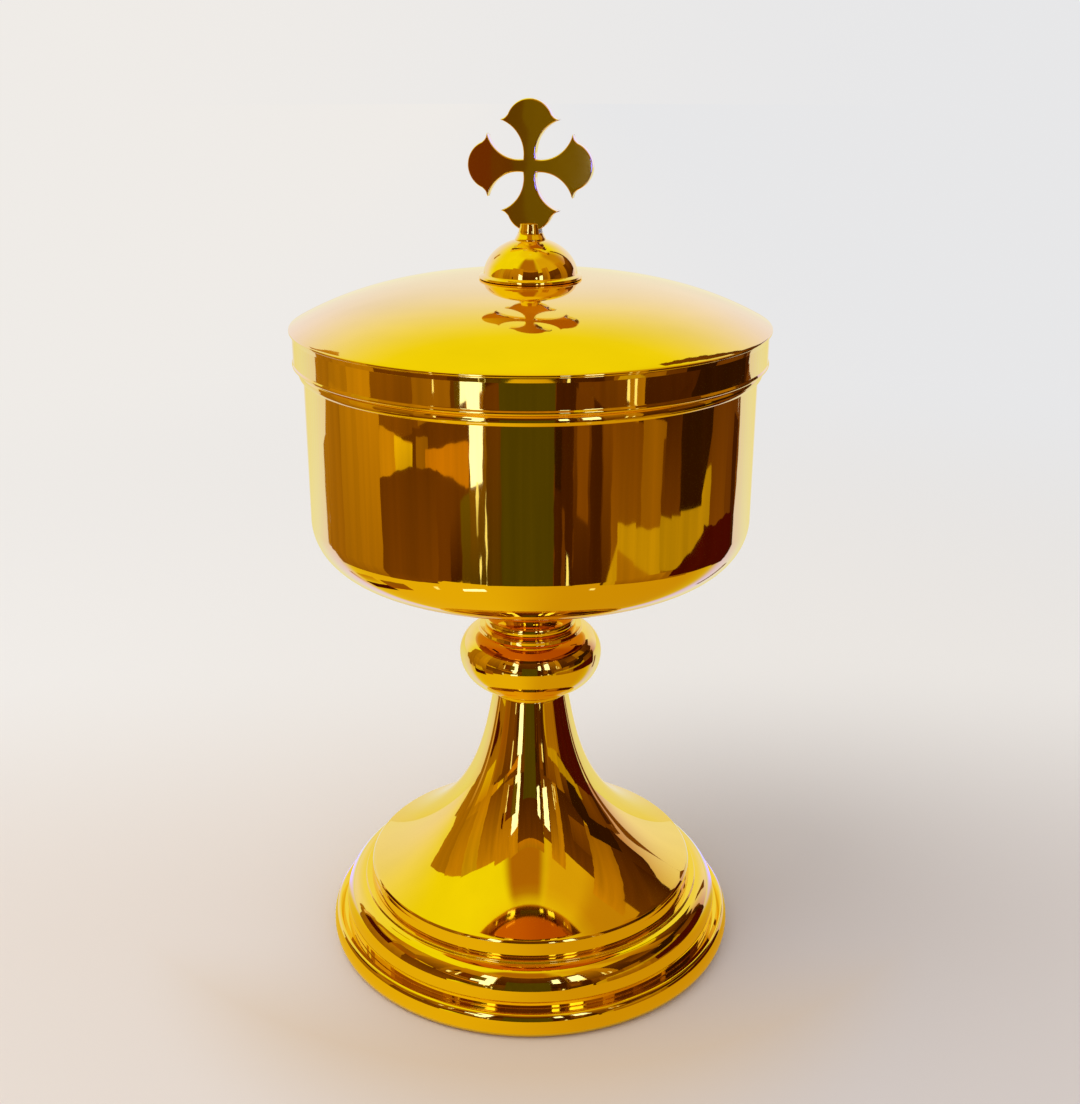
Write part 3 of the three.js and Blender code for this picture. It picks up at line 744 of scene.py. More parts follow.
def neck_collar_outline(stem, hole):
    neck = Span("neck_collar")
    base = neck.bottom
    ring_centre = neck.radius - stem.ring_round
    ring_top = base + stem.ring_height
    waist_height = ring_top + NECK_WAIST_SHARE * (neck.height - stem.ring_height)
    return [
        (hole, base),
        *arc(ring_centre, base + stem.ring_height / 2, stem.ring_round, stem.ring_height / 2, -90, 90),
        *bezier(
            (ring_centre - NECK_RING_FLAT, ring_top),
            (stem.waist + NECK_FOOT_RUN, ring_top + NECK_FOOT_RISE),
            (stem.waist, waist_height - NECK_WAIST_BELOW),
            (stem.waist, waist_height), COVE_STEPS),
        *bezier(
            (stem.waist, waist_height),
            (stem.waist, waist_height + NECK_WAIST_ABOVE),
            (stem.top_radius - NECK_TOP_RUN, neck.top - NECK_TOP_RISE),
            (stem.top_radius, neck.top), COVE_STEPS)[1:],
        (hole, neck.top),
    ]


class CIBORIUM_OT_stem(bpy.types.Operator):
    """Make the knop and the neck collar"""
    bl_idname = "ciborium.stem"
    bl_label = "Knop and neck"

    def execute(self, context):
        settings = context.scene.ciborium
        metalwork = settings.metalwork
        rod_hole = Span("tie_rod").radius + metalwork.clearance
        boss_hole = Span("cup_boss").radius + metalwork.film
        outlines = {
            "knop": knop_outline(settings.stem, settings.foot.stem_radius, rod_hole),
            "neck_collar": neck_collar_outline(settings.stem, boss_hole),
        }
        for node, outline in outlines.items():
            gilt_piece(node, outline, "vessel")
        return {"FINISHED"}


# Cup
BEAD_BULGE = 0.65  # how much of the bead's width is rounded
POLISHED_RIM = 0.5 * MM  # below the mouth, above the satin inside
INWARD = -0.2  # outward part of the normal of a satin face, at most
UPWARD = 0.5  # or its upward part, at least
BOTTOM_STEP = 1.0  # degrees between the points of the bowl's bottom
CORNER_STEP = 3.0  # and of its corner


def bowl_line(cup, neck_radius, inset):
    """Bottom, corner and wall, one inset inside the outer surface."""
    bowl = Span("cup_bowl")
    pitch = cup.pitch
    corner_centre = bowl.radius - cup.corner
    join = corner_centre + cup.corner * math.sin(pitch)
    round_radius = join / math.sin(pitch)
    round_centre = math.sqrt(round_radius ** 2 - neck_radius ** 2)
    corner_height = round_centre - (round_radius - cup.corner) * math.cos(pitch)
    bottom = round_radius - inset
    flat = math.sqrt(bottom ** 2 - (round_centre - inset) ** 2)
    flat_angle = math.degrees(math.asin(flat / bottom))
    corner = cup.corner - inset
    pitch = math.degrees(pitch)
    return [
        (0.0, bowl.bottom + inset),
        *arc(0.0, bowl.bottom + round_centre, bottom, bottom, flat_angle - 90, pitch - 90, BOTTOM_STEP),
        *arc(corner_centre, bowl.bottom + corner_height, corner, corner, pitch - 90, 0, CORNER_STEP)[1:],
        (bowl.radius - inset, bowl.top),
    ]


def rim_bead_outline(cup, film):
    bead = Span("cup_rim_bead")
    inside = Span("cup_bowl").radius + film
    bulge = BEAD_BULGE * cup.bead_width
    half = bead.height / 2
    return [
        (inside, bead.bottom),
        *arc(inside + cup.bead_width - bulge, bead.bottom + half, bulge, half, -90, 90),
        (inside, bead.top),
    ]


def satin_inside(piece):
    """Gives the faces of a bowl that look up or at the axis the satin gilding."""
    slot = len(piece.data.materials)
    piece.data.materials.append(satin_gilt())
    rim = Span("cup_bowl").top - POLISHED_RIM
    for face in piece.data.polygons:
        outward = face.normal.xy.dot(face.center.xy.normalized())
        if face.center.z < rim and (outward < INWARD or face.normal.z > UPWARD):
            face.material_index = slot


class CIBORIUM_OT_cup(bpy.types.Operator):
    """Make the bowl and its rim bead"""
    bl_idname = "ciborium.cup"
    bl_label = "Cup"

    def execute(self, context):
        settings = context.scene.ciborium
        neck_radius = settings.stem.top_radius
        outside = bowl_line(settings.cup, neck_radius, 0.0)
        inside = bowl_line(settings.cup, neck_radius, settings.metalwork.sheet)
        bowl = gilt_piece("cup_bowl", outside + list(reversed(inside)), "vessel", bowl_gilt_with_painted_shade())
        satin_inside(bowl)
        gilt_piece("cup_rim_bead", rim_bead_outline(settings.cup, settings.metalwork.film), "vessel")
        return {"FINISHED"}


# Lid: its band comes in between a rim at the foot, over a chamfer, and a rim at the top
BAND_CHAMFER_RUN = 0.6 * MM
BAND_CHAMFER_TOP = 0.5 * MM
BAND_RIM_TOP = 0.9 * MM
BAND_WAIST_FOOT = 1.4 * MM
BAND_WAIST_TOP = 1.3 * MM  # below the top of the band, like the next
BAND_TOP_RIM = 0.3 * MM
LIP_CHAMFER = 0.3 * MM
WASHER_MARGIN = 0.3 * MM  # flat under the dome round the washer
DOME_STEPS = 60


def lid_band_outline(lid, sheet, film):
    band = Span("lid_band")
    waist = band.radius - lid.band_flare
    inside = waist - sheet
    hole = Span("lid_collar").radius + film
    return [
        (hole, band.bottom), (band.radius - BAND_CHAMFER_RUN, band.bottom),
        (band.radius, band.bottom + BAND_CHAMFER_TOP),
        (band.radius, band.bottom + BAND_RIM_TOP), (waist, band.bottom + BAND_WAIST_FOOT),
        (waist, band.top - BAND_WAIST_TOP), (band.radius, band.top - BAND_TOP_RIM),
        (band.radius, band.top), (inside, band.top), (inside, band.bottom + sheet),
        (hole, band.bottom + sheet),
    ]


def lid_dome_outline(lid, sheet, hole, washer_flat):
    dome = Span("lid_dome")
    band_radius = Span("lid_band").radius
    foot = dome.bottom + lid.lip_height
    rise = dome.top - foot

    def height_at(r):
        return foot + rise * (1 - (r / band_radius) ** lid.fullness)

    def spread(start, end):
        return [start + (end - start) * i / DOME_STEPS for i in range(DOME_STEPS + 1)]

    reach = (sheet - lid.lip_height) / rise
    inside_edge = band_radius * (1 - reach) ** (1 / lid.fullness)
    return [
        (dome.radius, dome.bottom), (dome.radius, foot - LIP_CHAMFER),
        *((r, height_at(r)) for r in spread(band_radius, hole)),
        (hole, height_at(washer_flat) - sheet),
        *((r, height_at(r) - sheet) for r in spread(washer_flat, inside_edge)),
    ]


def lid_collar_outline(lid):
    collar = Span("lid_collar")
    inside = collar.radius - lid.collar_wall
    lead = lid.collar_wall / 2
    return [
        (inside, collar.bottom), (collar.radius - lead, collar.bottom),
        (collar.radius, collar.bottom + 1.5 * lead), (collar.radius, collar.top),
        (inside, collar.top),
    ]


class CIBORIUM_OT_lid(bpy.types.Operator):
    """Make the lid: dome, band and locating ring"""
    bl_idname = "ciborium.lid"
    bl_label = "Lid"

    def execute(self, context):
        settings = context.scene.ciborium
        metalwork = settings.metalwork
        hole = Span("finial_stud").radius + metalwork.clearance
        washer_flat = Span("finial_washer").radius + WASHER_MARGIN
        band = lid_band_outline(settings.lid, metalwork.sheet, metalwork.film)
        dome = lid_dome_outline(settings.lid, metalwork.sheet, hole, washer_flat)
        collar = lid_collar_outline(settings.lid)
        gilt_piece("lid_band", band, "lid")
        gilt_piece("lid_dome", dome, "lid")
        seated(turned("lid_collar_gilt", collar, satin_gilt()), "lid", "gilt_satin", "lid_collar")
        return {"FINISHED"}


# Finial
BALL_EDGE = 0.15 * MM  # polished edges
FERRULE_EDGE = 0.1 * MM
BALL_SEAT_INSET = 0.25 * MM  # chamfers under and over the flange's edge
BALL_FLANGE_INSET = 0.1 * MM
BALL_LEAVES = 4  # degrees at which the half ball leaves its flange
BALL_STEP = 3.0  # degrees between its points
FERRULE_RIM = 0.4 * MM  # height of its lower edge
FERRULE_DRAFT = 0.1 * MM  # how far that edge leans in
FERRULE_CURVE = 0.6 * MM  # reach of the curve above it
FERRULE_WAIST = 0.25 * MM  # how far the ferrule comes in above its shoulder
FERRULE_LEVELS = (0.3, 0.35, 0.6, 0.8)  # of its curve, its shoulder and its waist, as shares of its height
BARB_DIP = 0.25 * MM  # hollow between a barb and the round end
FERRULE_STEPS = 12
FLAT_FACE = 0.98  # sideways part of a face's normal, above which it isn't an edge
ARM_STEPS = 24  # along a hollow side
LOBE_STEPS = 16  # round half an arm's end
DIP_STEPS = 8
BEVEL_STEPS = 4


def finial_ball_outline(finial, ferrule_radius, hole):
    ball = Span("finial_ball")
    base = ball.bottom
    radius = ball.radius - finial.flange
    cut = math.degrees(math.acos(ferrule_radius / radius))
    return [
        (hole, base), (ball.radius - BALL_SEAT_INSET, base),
        (ball.radius, base + 0.5 * finial.flange_height),
        (ball.radius - BALL_FLANGE_INSET, base + 1.5 * finial.flange_height),
        *arc(0.0, base + finial.flange_height, radius, finial.ball_rise, BALL_LEAVES, cut, BALL_STEP),
        (hole, ball.top),
    ]


def ferrule_outline(finial, hole):
    ferrule = Span("finial_ferrule")
    base = ferrule.bottom
    height = ferrule.height
    floor = ferrule.top - finial.slot_depth
    curve, low, high, waist = (base + level * height for level in FERRULE_LEVELS)
    return [
        (0.0, floor), (hole, floor), (hole, base), (ferrule.radius, base),
        *bezier(
            (ferrule.radius - FERRULE_DRAFT, base + FERRULE_RIM),
            (ferrule.radius - FERRULE_CURVE, curve),
            (finial.shoulder, low),
            (finial.shoulder, high), FERRULE_STEPS),
        (finial.shoulder - FERRULE_WAIST, waist), (finial.tip, ferrule.top), (0.0, ferrule.top),
    ]


def cut_slot(piece, finial):
    """Cuts the slot for the cross through the top of the ferrule."""
    low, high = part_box("finial_cross")
    ferrule = Span("finial_ferrule")
    size = (4 * ferrule.radius, high[1] - low[1] + 2 * finial.slot_clearance, 2 * finial.slot_depth)
    shape = bmesh.new()
    bmesh.ops.create_cube(shape, size=1.0)
    for vert in shape.verts:
        vert.co = [place * side for place, side in zip(vert.co, size)]
        vert.co.z += ferrule.top
    cutter = new_object("slot", mesh_of("slot", shape))
    modifier = piece.modifiers.new("slot", "BOOLEAN")
    modifier.operation = "DIFFERENCE"
    modifier.object = cutter
    modifier.solver = "EXACT"
    applied(piece)
    bpy.data.objects.remove(cutter)
    return piece


def circle_points(x, y, radius, start, end, steps):
    """Points of an arc about x and y; the angles are radians."""
    turns = [start + (end - start) * i / steps for i in range(steps + 1)]
    return [(x + radius * math.cos(turn), y + radius * math.sin(turn)) for turn in turns]


def cross_arm(finial, reach):
    """Half outlines of one arm, from the hollow beside it round its end to the next hollow."""
    run = finial.barb_spread - finial.neck_half
    rise = finial.barb_reach - finial.neck_reach
    sweep = (run ** 2 + rise ** 2) / (2 * run)
    sweep_x = finial.neck_half + sweep
    middle = (sweep_x + finial.neck_reach) / 2
    spread = (sweep_x ** 2 + finial.neck_reach ** 2 - sweep ** 2) / 2
    crotch = middle - math.sqrt(middle ** 2 - spread)
    start = math.atan2(crotch - finial.neck_reach, crotch - sweep_x) % FULL_TURN
    end = math.atan2(rise, finial.barb_spread - sweep_x)
    half = circle_points(sweep_x, finial.neck_reach, sweep, start, end, ARM_STEPS)
    barb = half[-1]
    notch = (finial.notch_spread, finial.notch_reach)
    dip = ((barb[0] + notch[0]) / 2 - BARB_DIP, (barb[1] + notch[1]) / 2 - BARB_DIP)
    half.extend(bezier(barb, dip, dip, notch, DIP_STEPS)[1:-1])
    lobe_rise = reach - finial.notch_reach
    lobe = (finial.notch_spread ** 2 + lobe_rise ** 2) / (2 * lobe_rise)
    lobe_start = math.asin((finial.notch_reach - reach + lobe) / lobe)
    half.extend(circle_points(0.0, reach - lobe, lobe, lobe_start, math.pi / 2, LOBE_STEPS))
    other = [(-x, y) for x, y in reversed(half[:-1])]
    return half + other


def rims_of(shape):
    """Edges of the front and of the back, the only faces with more than four corners."""
    return [edge for edge in shape.edges if any(len(face.verts) > 4 for face in edge.link_faces)]


def make_cross(finial, finish, edges):
    """A flat plate with four like arms and polished edges."""
    low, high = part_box("finial_cross")
    reach = high[0]
    middle = (low[2] + high[2]) / 2
    half = (high[1] - low[1]) / 2
    shape = bmesh.new()
    front = []
    for quarter in range(4):
        cosine = math.cos(quarter * math.pi / 2)
        sine = math.sin(quarter * math.pi / 2)
        for x, y in cross_arm(finial, reach)[:-1]:
            across = x * cosine - y * sine
            up = x * sine + y * cosine
            front.append(shape.verts.new((across, -half, middle + up)))
    face = shape.faces.new(front)
    sides = bmesh.ops.extrude_face_region(shape, geom=[face])
    moved = [item for item in sides["geom"] if isinstance(item, bmesh.types.BMVert)]
    bmesh.ops.translate(shape, verts=moved, vec=(0.0, 2 * half, 0.0))
    bmesh.ops.recalc_face_normals(shape, faces=shape.faces)
    bmesh.ops.bevel(
        shape, geom=rims_of(shape), offset=finial.bevel, segments=BEVEL_STEPS, profile=0.5, affect="EDGES")
    for item in shape.faces:
        item.smooth = True
    for edge in rims_of(shape):
        edge.smooth = False
    mesh = mesh_of("finial_cross_gilt", shape)
    mesh.materials.append(finish)
    mesh.materials.append(edges)
    for face in mesh.polygons:
        face.material_index = 0 if abs(face.normal.y) > FLAT_FACE else 1
    return new_object("finial_cross_gilt", mesh)


class CIBORIUM_OT_finial(bpy.types.Operator):
    """Make the finial: half ball, ferrule and cross"""
    bl_idname = "ciborium.finial"
    bl_label = "Finial"

    def execute(self, context):
        settings = context.scene.ciborium
        hole = Span("finial_stud").radius + settings.metalwork.clearance
        ferrule_radius = Span("finial_ferrule").radius
        ball = finial_ball_outline(settings.finial, ferrule_radius, hole)
        gilt_piece("finial_ball", ball, "lid", edge=BALL_EDGE)
        outline = ferrule_outline(settings.finial, hole)
        ferrule = turned("finial_ferrule_gilt", outline, mirror_gilt(), FERRULE_EDGE)
        seated(cut_slot(ferrule, settings.finial), "lid", "gilt", "finial_ferrule")
        seated(make_cross(settings.finial, flat_gilt(), edge_gilt()), "lid", "gilt", "finial_cross")
        return {"FINISHED"}


# Fixings, which keep their CAD shapes

class CIBORIUM_OT_fixings(bpy.types.Operator):
    """Give the hidden fixings their finishes"""
    bl_idname = "ciborium.fixings"
    bl_label = "Fixings"

    def execute(self, context):
        gilded = ("cup_boss", "clamp_plate")
        steel = ("tie_rod", "rod_spring_washer", "rod_nut", "finial_stud", "finial_washer", "finial_nut")
        for node in gilded + steel:
            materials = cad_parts[node].data.materials
            materials.clear()
            materials.append(satin_gilt() if node in gilded else plated_steel())
        return {"FINISHED"}


# Stage

def waver(along, seed):
    """A smooth uneven line between -1 and 1."""
    return 0.6 * math.sin(along + 2.1 * seed) + 0.4 * math.sin(2.7 * along + 3.7 * seed)


def ramp(value, start, end):
    """Rises smoothly from 0 at the start to 1 at the end."""
    t = min(max((value - start) / (end - start), 0.0), 1.0)
    return t * t * (3 - 2 * t)


def blend(first, second, amount):
    return tuple((1 - amount) * a + amount * b for a, b in zip(first, second))


def heading(turn):
    """The level direction at a turn to the right of the cross's face."""
    return math.sin(turn), -math.cos(turn)


def both(value):
    return value if isinstance(value, tuple) else (value, value)


# Colours of the panels
UMBER = (0.14, 0.045, 0.010)
DARK_UMBER = (0.055, 0.014, 0.004)
NEAR_BLACK = (0.028, 0.008, 0.002)
DARK_RED = (0.058, 0.004, 0.004)
OLIVE = (0.078, 0.062, 0.004)
DARK_OLIVE = (0.15, 0.10, 0.01)
CHESTNUT = (0.20, 0.070, 0.010)
TAN = (0.31, 0.135, 0.02)
OCHRE = (0.42, 0.205, 0.03)
HONEY = (0.56, 0.28, 0.04)
AMBER = (0.58, 0.235, 0.02)
GOLDEN = (0.55, 0.355, 0.05)
DULL_GOLD = (0.45, 0.29, 0.04)
PALE_LINE = (1.2, 1.2, 10.0)
WHITE = (1.6, 1.9, 33.0)
DARK_HONEY = (0.49, 0.245, 0.03)
BRIGHT_GOLD = (0.80, 0.55, 0.06)
DEEP_OLIVE = (0.10, 0.055, 0.01)
RED_UMBER = (0.14, 0.032, 0.01)
WARM_UMBER = (0.13, 0.043, 0.01)
DIM_OLIVE = (0.12, 0.062, 0.01)
DIM_LINE = (0.5, 0.4, 1.5)
DUSK = (0.085, 0.05, 0.01)
CREAM = (0.85, 0.6, 2.0)
LIGHT_GOLD = (0.70, 0.52, 0.05)
RUSSET = (0.36, 0.11, 0.02)

# Reflection panels, the later ones in front: first and last direction in degrees from the camera's side,
# to the right positive; lower edge and upper edge in millimetres, or a pair of each for the two directions;
# and the colour, or the colours at the lower and at the upper edge
PANELS = (
    (-109, -43, 0, 135, UMBER),
    (-44, -37, (18, 34), 135, UMBER),
    (-38, -18, (34, 12), 135, UMBER),
    (-19, 20, 0, 135, UMBER),
    (19, 34, (6, 30), 135, UMBER),
    (33, 113.5, 0, 135, UMBER),
    (-115.5, -111.5, 52, (98, 104), OCHRE),
    (-112, -108.5, (44, 40), (104, 130), TAN, OCHRE),
    (-109, -96, 0, (205, 265), TAN, OCHRE),
    (-97, -83, 130, (265, 320), OCHRE, HONEY),
    (-97, -83, 0, 132, TAN, DARK_HONEY),
    (-84, -69, 130, (320, 350), HONEY, GOLDEN),
    (-84, -70, 0, 132, TAN, HONEY),
    (-70, -49, 110, (350, 400), CHESTNUT, HONEY),
    (-50, -29, 112, (430, 480), TAN, HONEY),
    (-31, 20, 400, 500, AMBER, OCHRE),
    (-31, -19, 300, 500, HONEY),
    (-19, 20, 112, 430, DARK_UMBER, UMBER),
    (20, 33, 112, 380, UMBER, CHESTNUT),
    (31, 42, 112, (480, 470), UMBER, HONEY),
    (41, 49, 112, (470, 460), OCHRE, HONEY),
    (48, 80, 112, (350, 345), DARK_UMBER, UMBER),
    (60, 80, 175, (255, 262), CHESTNUT, UMBER),
    (79, 101, 165, (430, 400), TAN, HONEY),
    (100, 120, (100, 160), (335, 330), DARK_UMBER, UMBER),
    (112, 131, (185, 225), (335, 390), DARK_UMBER, CHESTNUT),
    (130.5, 135.2, (225, 230), (600, 620), DARK_UMBER, CHESTNUT),
    (-136.2, -131, 330, (412, 415), OCHRE, HONEY),
    (113.5, 116.5, (60, 80), (132, 126), CHESTNUT, UMBER),
    (-70, -51, 0, (118, 106), HONEY),
    (-62, -51.5, 90, (114, 104), GOLDEN, BRIGHT_GOLD),
    (-53, -27, 60, (114, 98), UMBER),
    (-51, -45.5, (92, 90), (109, 105), TAN),
    (-47, -27, (82, 70), (102, 92), AMBER),
    (-70.5, -53, 0, 97, CHESTNUT, UMBER),
    (-54, -41, (0, 24), (97, 89), CHESTNUT, UMBER),
    (-42, -29, (34, 28), (90, 72), UMBER),
    (-36, -30.5, (31, 28), (64, 66), DARK_UMBER, UMBER),
    (-31, -26, (27, 22), 67, DEEP_OLIVE, DARK_OLIVE),
    (-40, -31, 130, 240, RED_UMBER),
    (-45, -42.5, (195, 205), (250, 262), DARK_RED),
    (-41, -40, 124, 205, PALE_LINE),
    (-33, -19, 112, 242, WARM_UMBER),
    (-31.6, -19, 112, 242, DIM_OLIVE),
    (-30.3, -19, 112, 242, DARK_OLIVE),
    (-29, -20, 112, 134, WHITE),
    (-24.5, -19.5, 130, 245, WHITE),
    (-29, -20, 242, (335, 315), WHITE),
    (-27, -19, (22, 13), 112, DUSK, TAN),
    (-26.6, -21, (70, 68), 113, WHITE),
    (-24, -23.2, 44, 70, DIM_LINE, PALE_LINE),
    (-22.6, -22.1, 14, 32, PALE_LINE),
    (-20, -18.6, 4, 62, PALE_LINE),
    (-19.5, -12.5, 0, 112, DUSK, UMBER),
    (-13, 10.5, 0, 205, OLIVE),
    (10.5, 19, 0, 150, DARK_UMBER),
    (14, 15.4, 0, 50, UMBER),
    (10.8, 13.6, 58, 90, NEAR_BLACK),
    (16, 17.2, 4, 27, PALE_LINE),
    (19, 33, (6, 28), 113, DARK_UMBER, UMBER),
    (26.5, 31.5, (22, 28), 113, DARK_UMBER),
    (20.5, 25.5, 52, 100, CHESTNUT),
    (32, 37, 0, 113, DARK_UMBER, CHESTNUT),
    (36, 51, 0, (112, 116), TAN, CHESTNUT),
    (50, 62, 0, (118, 120), TAN),
    (33.5, 39.5, 0, (30, 58), GOLDEN),
    (39, 67, 0, (54, 52), TAN, OCHRE),
    (39, 48, 53, (65, 71), GOLDEN),
    (47, 60.5, 52, (68, 76), GOLDEN),
    (60, 92, (56, 62), (84, 104), DULL_GOLD),
    (60, 66, 80, (113, 116), UMBER),
    (61.5, 71, (81, 82), (128, 140), UMBER, DARK_UMBER),
    (70, 84, (84, 86), (134, 160), NEAR_BLACK),
    (83, 90.5, (86, 118), (160, 175), NEAR_BLACK),
    (83, 108, (120, 130), (182, 172), NEAR_BLACK),
    (90, 105, 66, 132, CHESTNUT, UMBER),
    (103, 112, 0, (130, 125), UMBER),
    (109, 114, 0, (118, 112), DARK_UMBER),
    (64, 82, 0, (54, 66), TAN),
    (68, 88, (14, 10), (58, 77), DARK_RED),
    (86, 111, (10, 4), (77, 74), DARK_RED),
    (12, 16, (160, 150), (270, 285), WHITE),
    (22, 29.5, (152, 140), (300, 310), WHITE),
    (25, 26, 122, 150, PALE_LINE),
    (40, 41, 122, 190, PALE_LINE),
    (43.4, 44.2, 122, 165, PALE_LINE),
)

PANEL_COLUMN = 2  # degrees between the columns of a panel
PANEL_ROW = 8  # millimetres between its rows
PANEL_STEP = 0.15 * MM  # from one panel to the next
SWAY_LENGTH = 7 * MM  # of the waves in its upright edges
RIPPLE_LENGTH = 3  # degrees, of those in its upper edge

# The same on an oval half as wide, low enough that only the stem and the foot mirror them
NEAR_OVAL = 0.5
NEAR_PANELS = (
    (-98.5, -95.5, 36, 70, CREAM, OCHRE),
    (-94, -72, 32, (50, 52), DARK_RED),
    (-89, -75, 57, 74, LIGHT_GOLD, HONEY),
    (-72, -57, 42, 70, RUSSET, TAN),
    (-41.3, -39.6, 58, 72, PALE_LINE),
    (-29, -19, 52, 66, WHITE),
    (25, 27, 60, 70, PALE_LINE),
    (113, 118, 30, 70, UMBER, CHESTNUT),
)

# Colours of the tent and the floor that the metal mirrors
TENT_LEFT = (0.90, 0.90, 0.05)
TENT_TOP = (0.86, 0.76, 0.10)
TENT_RIGHT = (0.70, 0.47, 0.10)
TENT_FAR_RIGHT = (0.56, 0.31, 0.06)
TENT_ARCH = (0.43, 0.18, 0.03)
FLOOR_BEHIND = (0.84, 0.93, 0.10)
FLOOR_FAR = (0.86, 0.77, 0.10)
FLOOR_LEFT = (0.79, 0.56, 0.08)
FLOOR_RIGHT = (0.63, 0.385, 0.05)


# Degrees over which a colour of the tent passes into the next: round it, and up for the last two
TO_RIGHT = (12, 32)
TO_FAR_RIGHT = (70, 92)
BACK_TO_LEFT = (115, 145)
INTO_ARCH = (-44, -28)
OUT_OF_ARCH = (12, 28)
ARCH_END = (70, 80)
TO_TOP = (68, 82)

# Parts of a level direction, to the right or towards the camera, over which the floor's colours pass
FLOOR_TO_RIGHT = (-0.45, 0.35)
FLOOR_TO_FAR = (-0.65, -1.0)
FLOOR_TO_FRONT = (-0.85, 0.2)

TENT_STEP = 4  # degrees between the tent's columns and rows
GROUND_RADII = (62 * MM, 120 * MM, 300 * MM)  # circles of points on the mirrored floor
GROUND_HEIGHT = 0.3 * MM  # so that it lies on the floor that the camera sees

# How the gilding mirrors blue: hardly, except at a grazing angle, where the edges of the vessel look pale
GILT_BLUE = 0.014
CAMERA_LEVEL = 0.94  # direction of the camera from the vessel, level and up
CAMERA_RISE = 0.34
TENT_PALENESS = 0.24  # blue that the edges of the vessel show
LOSES_PALENESS = (5, 55)  # degrees up
FLOOR_PALENESS = 0.16
FLOOR_DOWN = -0.3  # upward part of the usual direction to the floor
BLUE_FROM = 102  # degrees from the camera's side, where the blue sets in
FLOOR_PALE_FROM = 116  # and where it is full
TENT_PALE_FROM = 142
LEAST_BLUE = 0.7  # of the tent straight behind the vessel
STRAIGHT_BEHIND = (135, 165)
LOW_SKY = (0.35, 0.75)  # upward part of the direction
MOST_BLUE = 6.0


def tent_tint(side, front, up):
    """Colour of the mirrored tent in a direction, given to the right, towards the camera and upwards."""
    turn = math.degrees(math.atan2(side, front))
    rise = math.degrees(math.asin(min(up, 1.0)))
    sides = blend(TENT_LEFT, TENT_RIGHT, ramp(turn, *TO_RIGHT))
    sides = blend(sides, TENT_FAR_RIGHT, ramp(turn, *TO_FAR_RIGHT))
    sides = blend(sides, TENT_LEFT, ramp(turn, *BACK_TO_LEFT))
    arch = ramp(turn, *INTO_ARCH) * (1 - ramp(turn, *OUT_OF_ARCH)) * (1 - ramp(rise, *ARCH_END))
    tint = blend(blend(sides, TENT_TOP, ramp(rise, *TO_TOP)), TENT_ARCH, arch)
    pale = TENT_PALENESS * (1 - ramp(rise, *LOSES_PALENESS))
    return paled(tint, side, front, up, pale, TENT_PALE_FROM)


def floor_tint(side, front):
    """Colour of the mirrored floor in a level direction."""
    near = blend(FLOOR_LEFT, FLOOR_RIGHT, ramp(side, *FLOOR_TO_RIGHT))
    behind = blend(FLOOR_BEHIND, FLOOR_FAR, ramp(front, *FLOOR_TO_FAR))
    tint = blend(behind, near, ramp(front, *FLOOR_TO_FRONT))
    return paled(tint, side, front, FLOOR_DOWN, FLOOR_PALENESS, FLOOR_PALE_FROM)


def paled(tint, side, front, up, pale, full):
    """The tint, with enough blue behind the vessel for the gilding to mirror it pale past the full turn."""
    turn = abs(math.degrees(math.atan2(side, front)))
    towards_camera = front * CAMERA_LEVEL + up * CAMERA_RISE
    across = math.sqrt(max(0.0, 1 + towards_camera) / 2)
    mirrored = GILT_BLUE + (1 - GILT_BLUE) * (1 - across) ** 5
    least = LEAST_BLUE * ramp(turn, *STRAIGHT_BEHIND) * (1 - ramp(up, *LOW_SKY))
    blue = min(max(pale / mirrored, least), MOST_BLUE)
    red, green, own = tint
    return red, green, own + (max(blue, own) - own) * ramp(turn, BLUE_FROM, full)


STREAK_LEVELS = (0.3, 0.7)  # of the noise, between which a glow goes from its low to its high strength


def glow_material(name, scale, stretch, low, high):
    """A glow in the colour of the attribute, slightly uneven."""
    material = node_material(name)
    tree = material.node_tree
    tree.nodes.clear()
    tint = add_node(tree, "ShaderNodeAttribute", attribute_name="tint").outputs["Color"]
    place = add_node(tree, "ShaderNodeTexCoord").outputs["Object"]
    stretched = add_node(tree, "ShaderNodeMapping", {"Vector": place, "Scale": (1.0, 1.0, stretch)})
    streaks = noise(tree, stretched.outputs[0], scale, 4.0)
    level = fade(tree, streaks, *STREAK_LEVELS, curve="LINEAR", low=low, high=high)
    light = add_node(tree, "ShaderNodeEmission", {"Color": tint, "Strength": level})
    add_node(tree, "ShaderNodeOutputMaterial", {"Surface": light.outputs[0]})
    return material


def mirrored_only(name, sheets, material):
    """Joins sheets, each a list of columns of places with colours, into a glow for the polished metal."""
    points = []
    faces = []
    for sheet in sheets:
        first = len(points)
        rows = len(sheet[0])
        for column in sheet:
            points.extend(column)
        for i in range(len(sheet) - 1):
            for j in range(rows - 1):
                corner = first + i * rows + j
                faces.append((corner, corner + 1, corner + rows + 1, corner + rows))
    mesh = bpy.data.meshes.new(name)
    mesh.from_pydata([place for place, tint in points], [], faces)
    attribute = mesh.color_attributes.new("tint", "FLOAT_COLOR", "POINT")
    for item, (place, tint) in zip(attribute.data, points):
        item.color = (*tint, 1.0)
    mesh.materials.append(material)
    made = new_object(name, mesh)
    made.visible_camera = False
    made.visible_diffuse = False
    made.visible_shadow = False


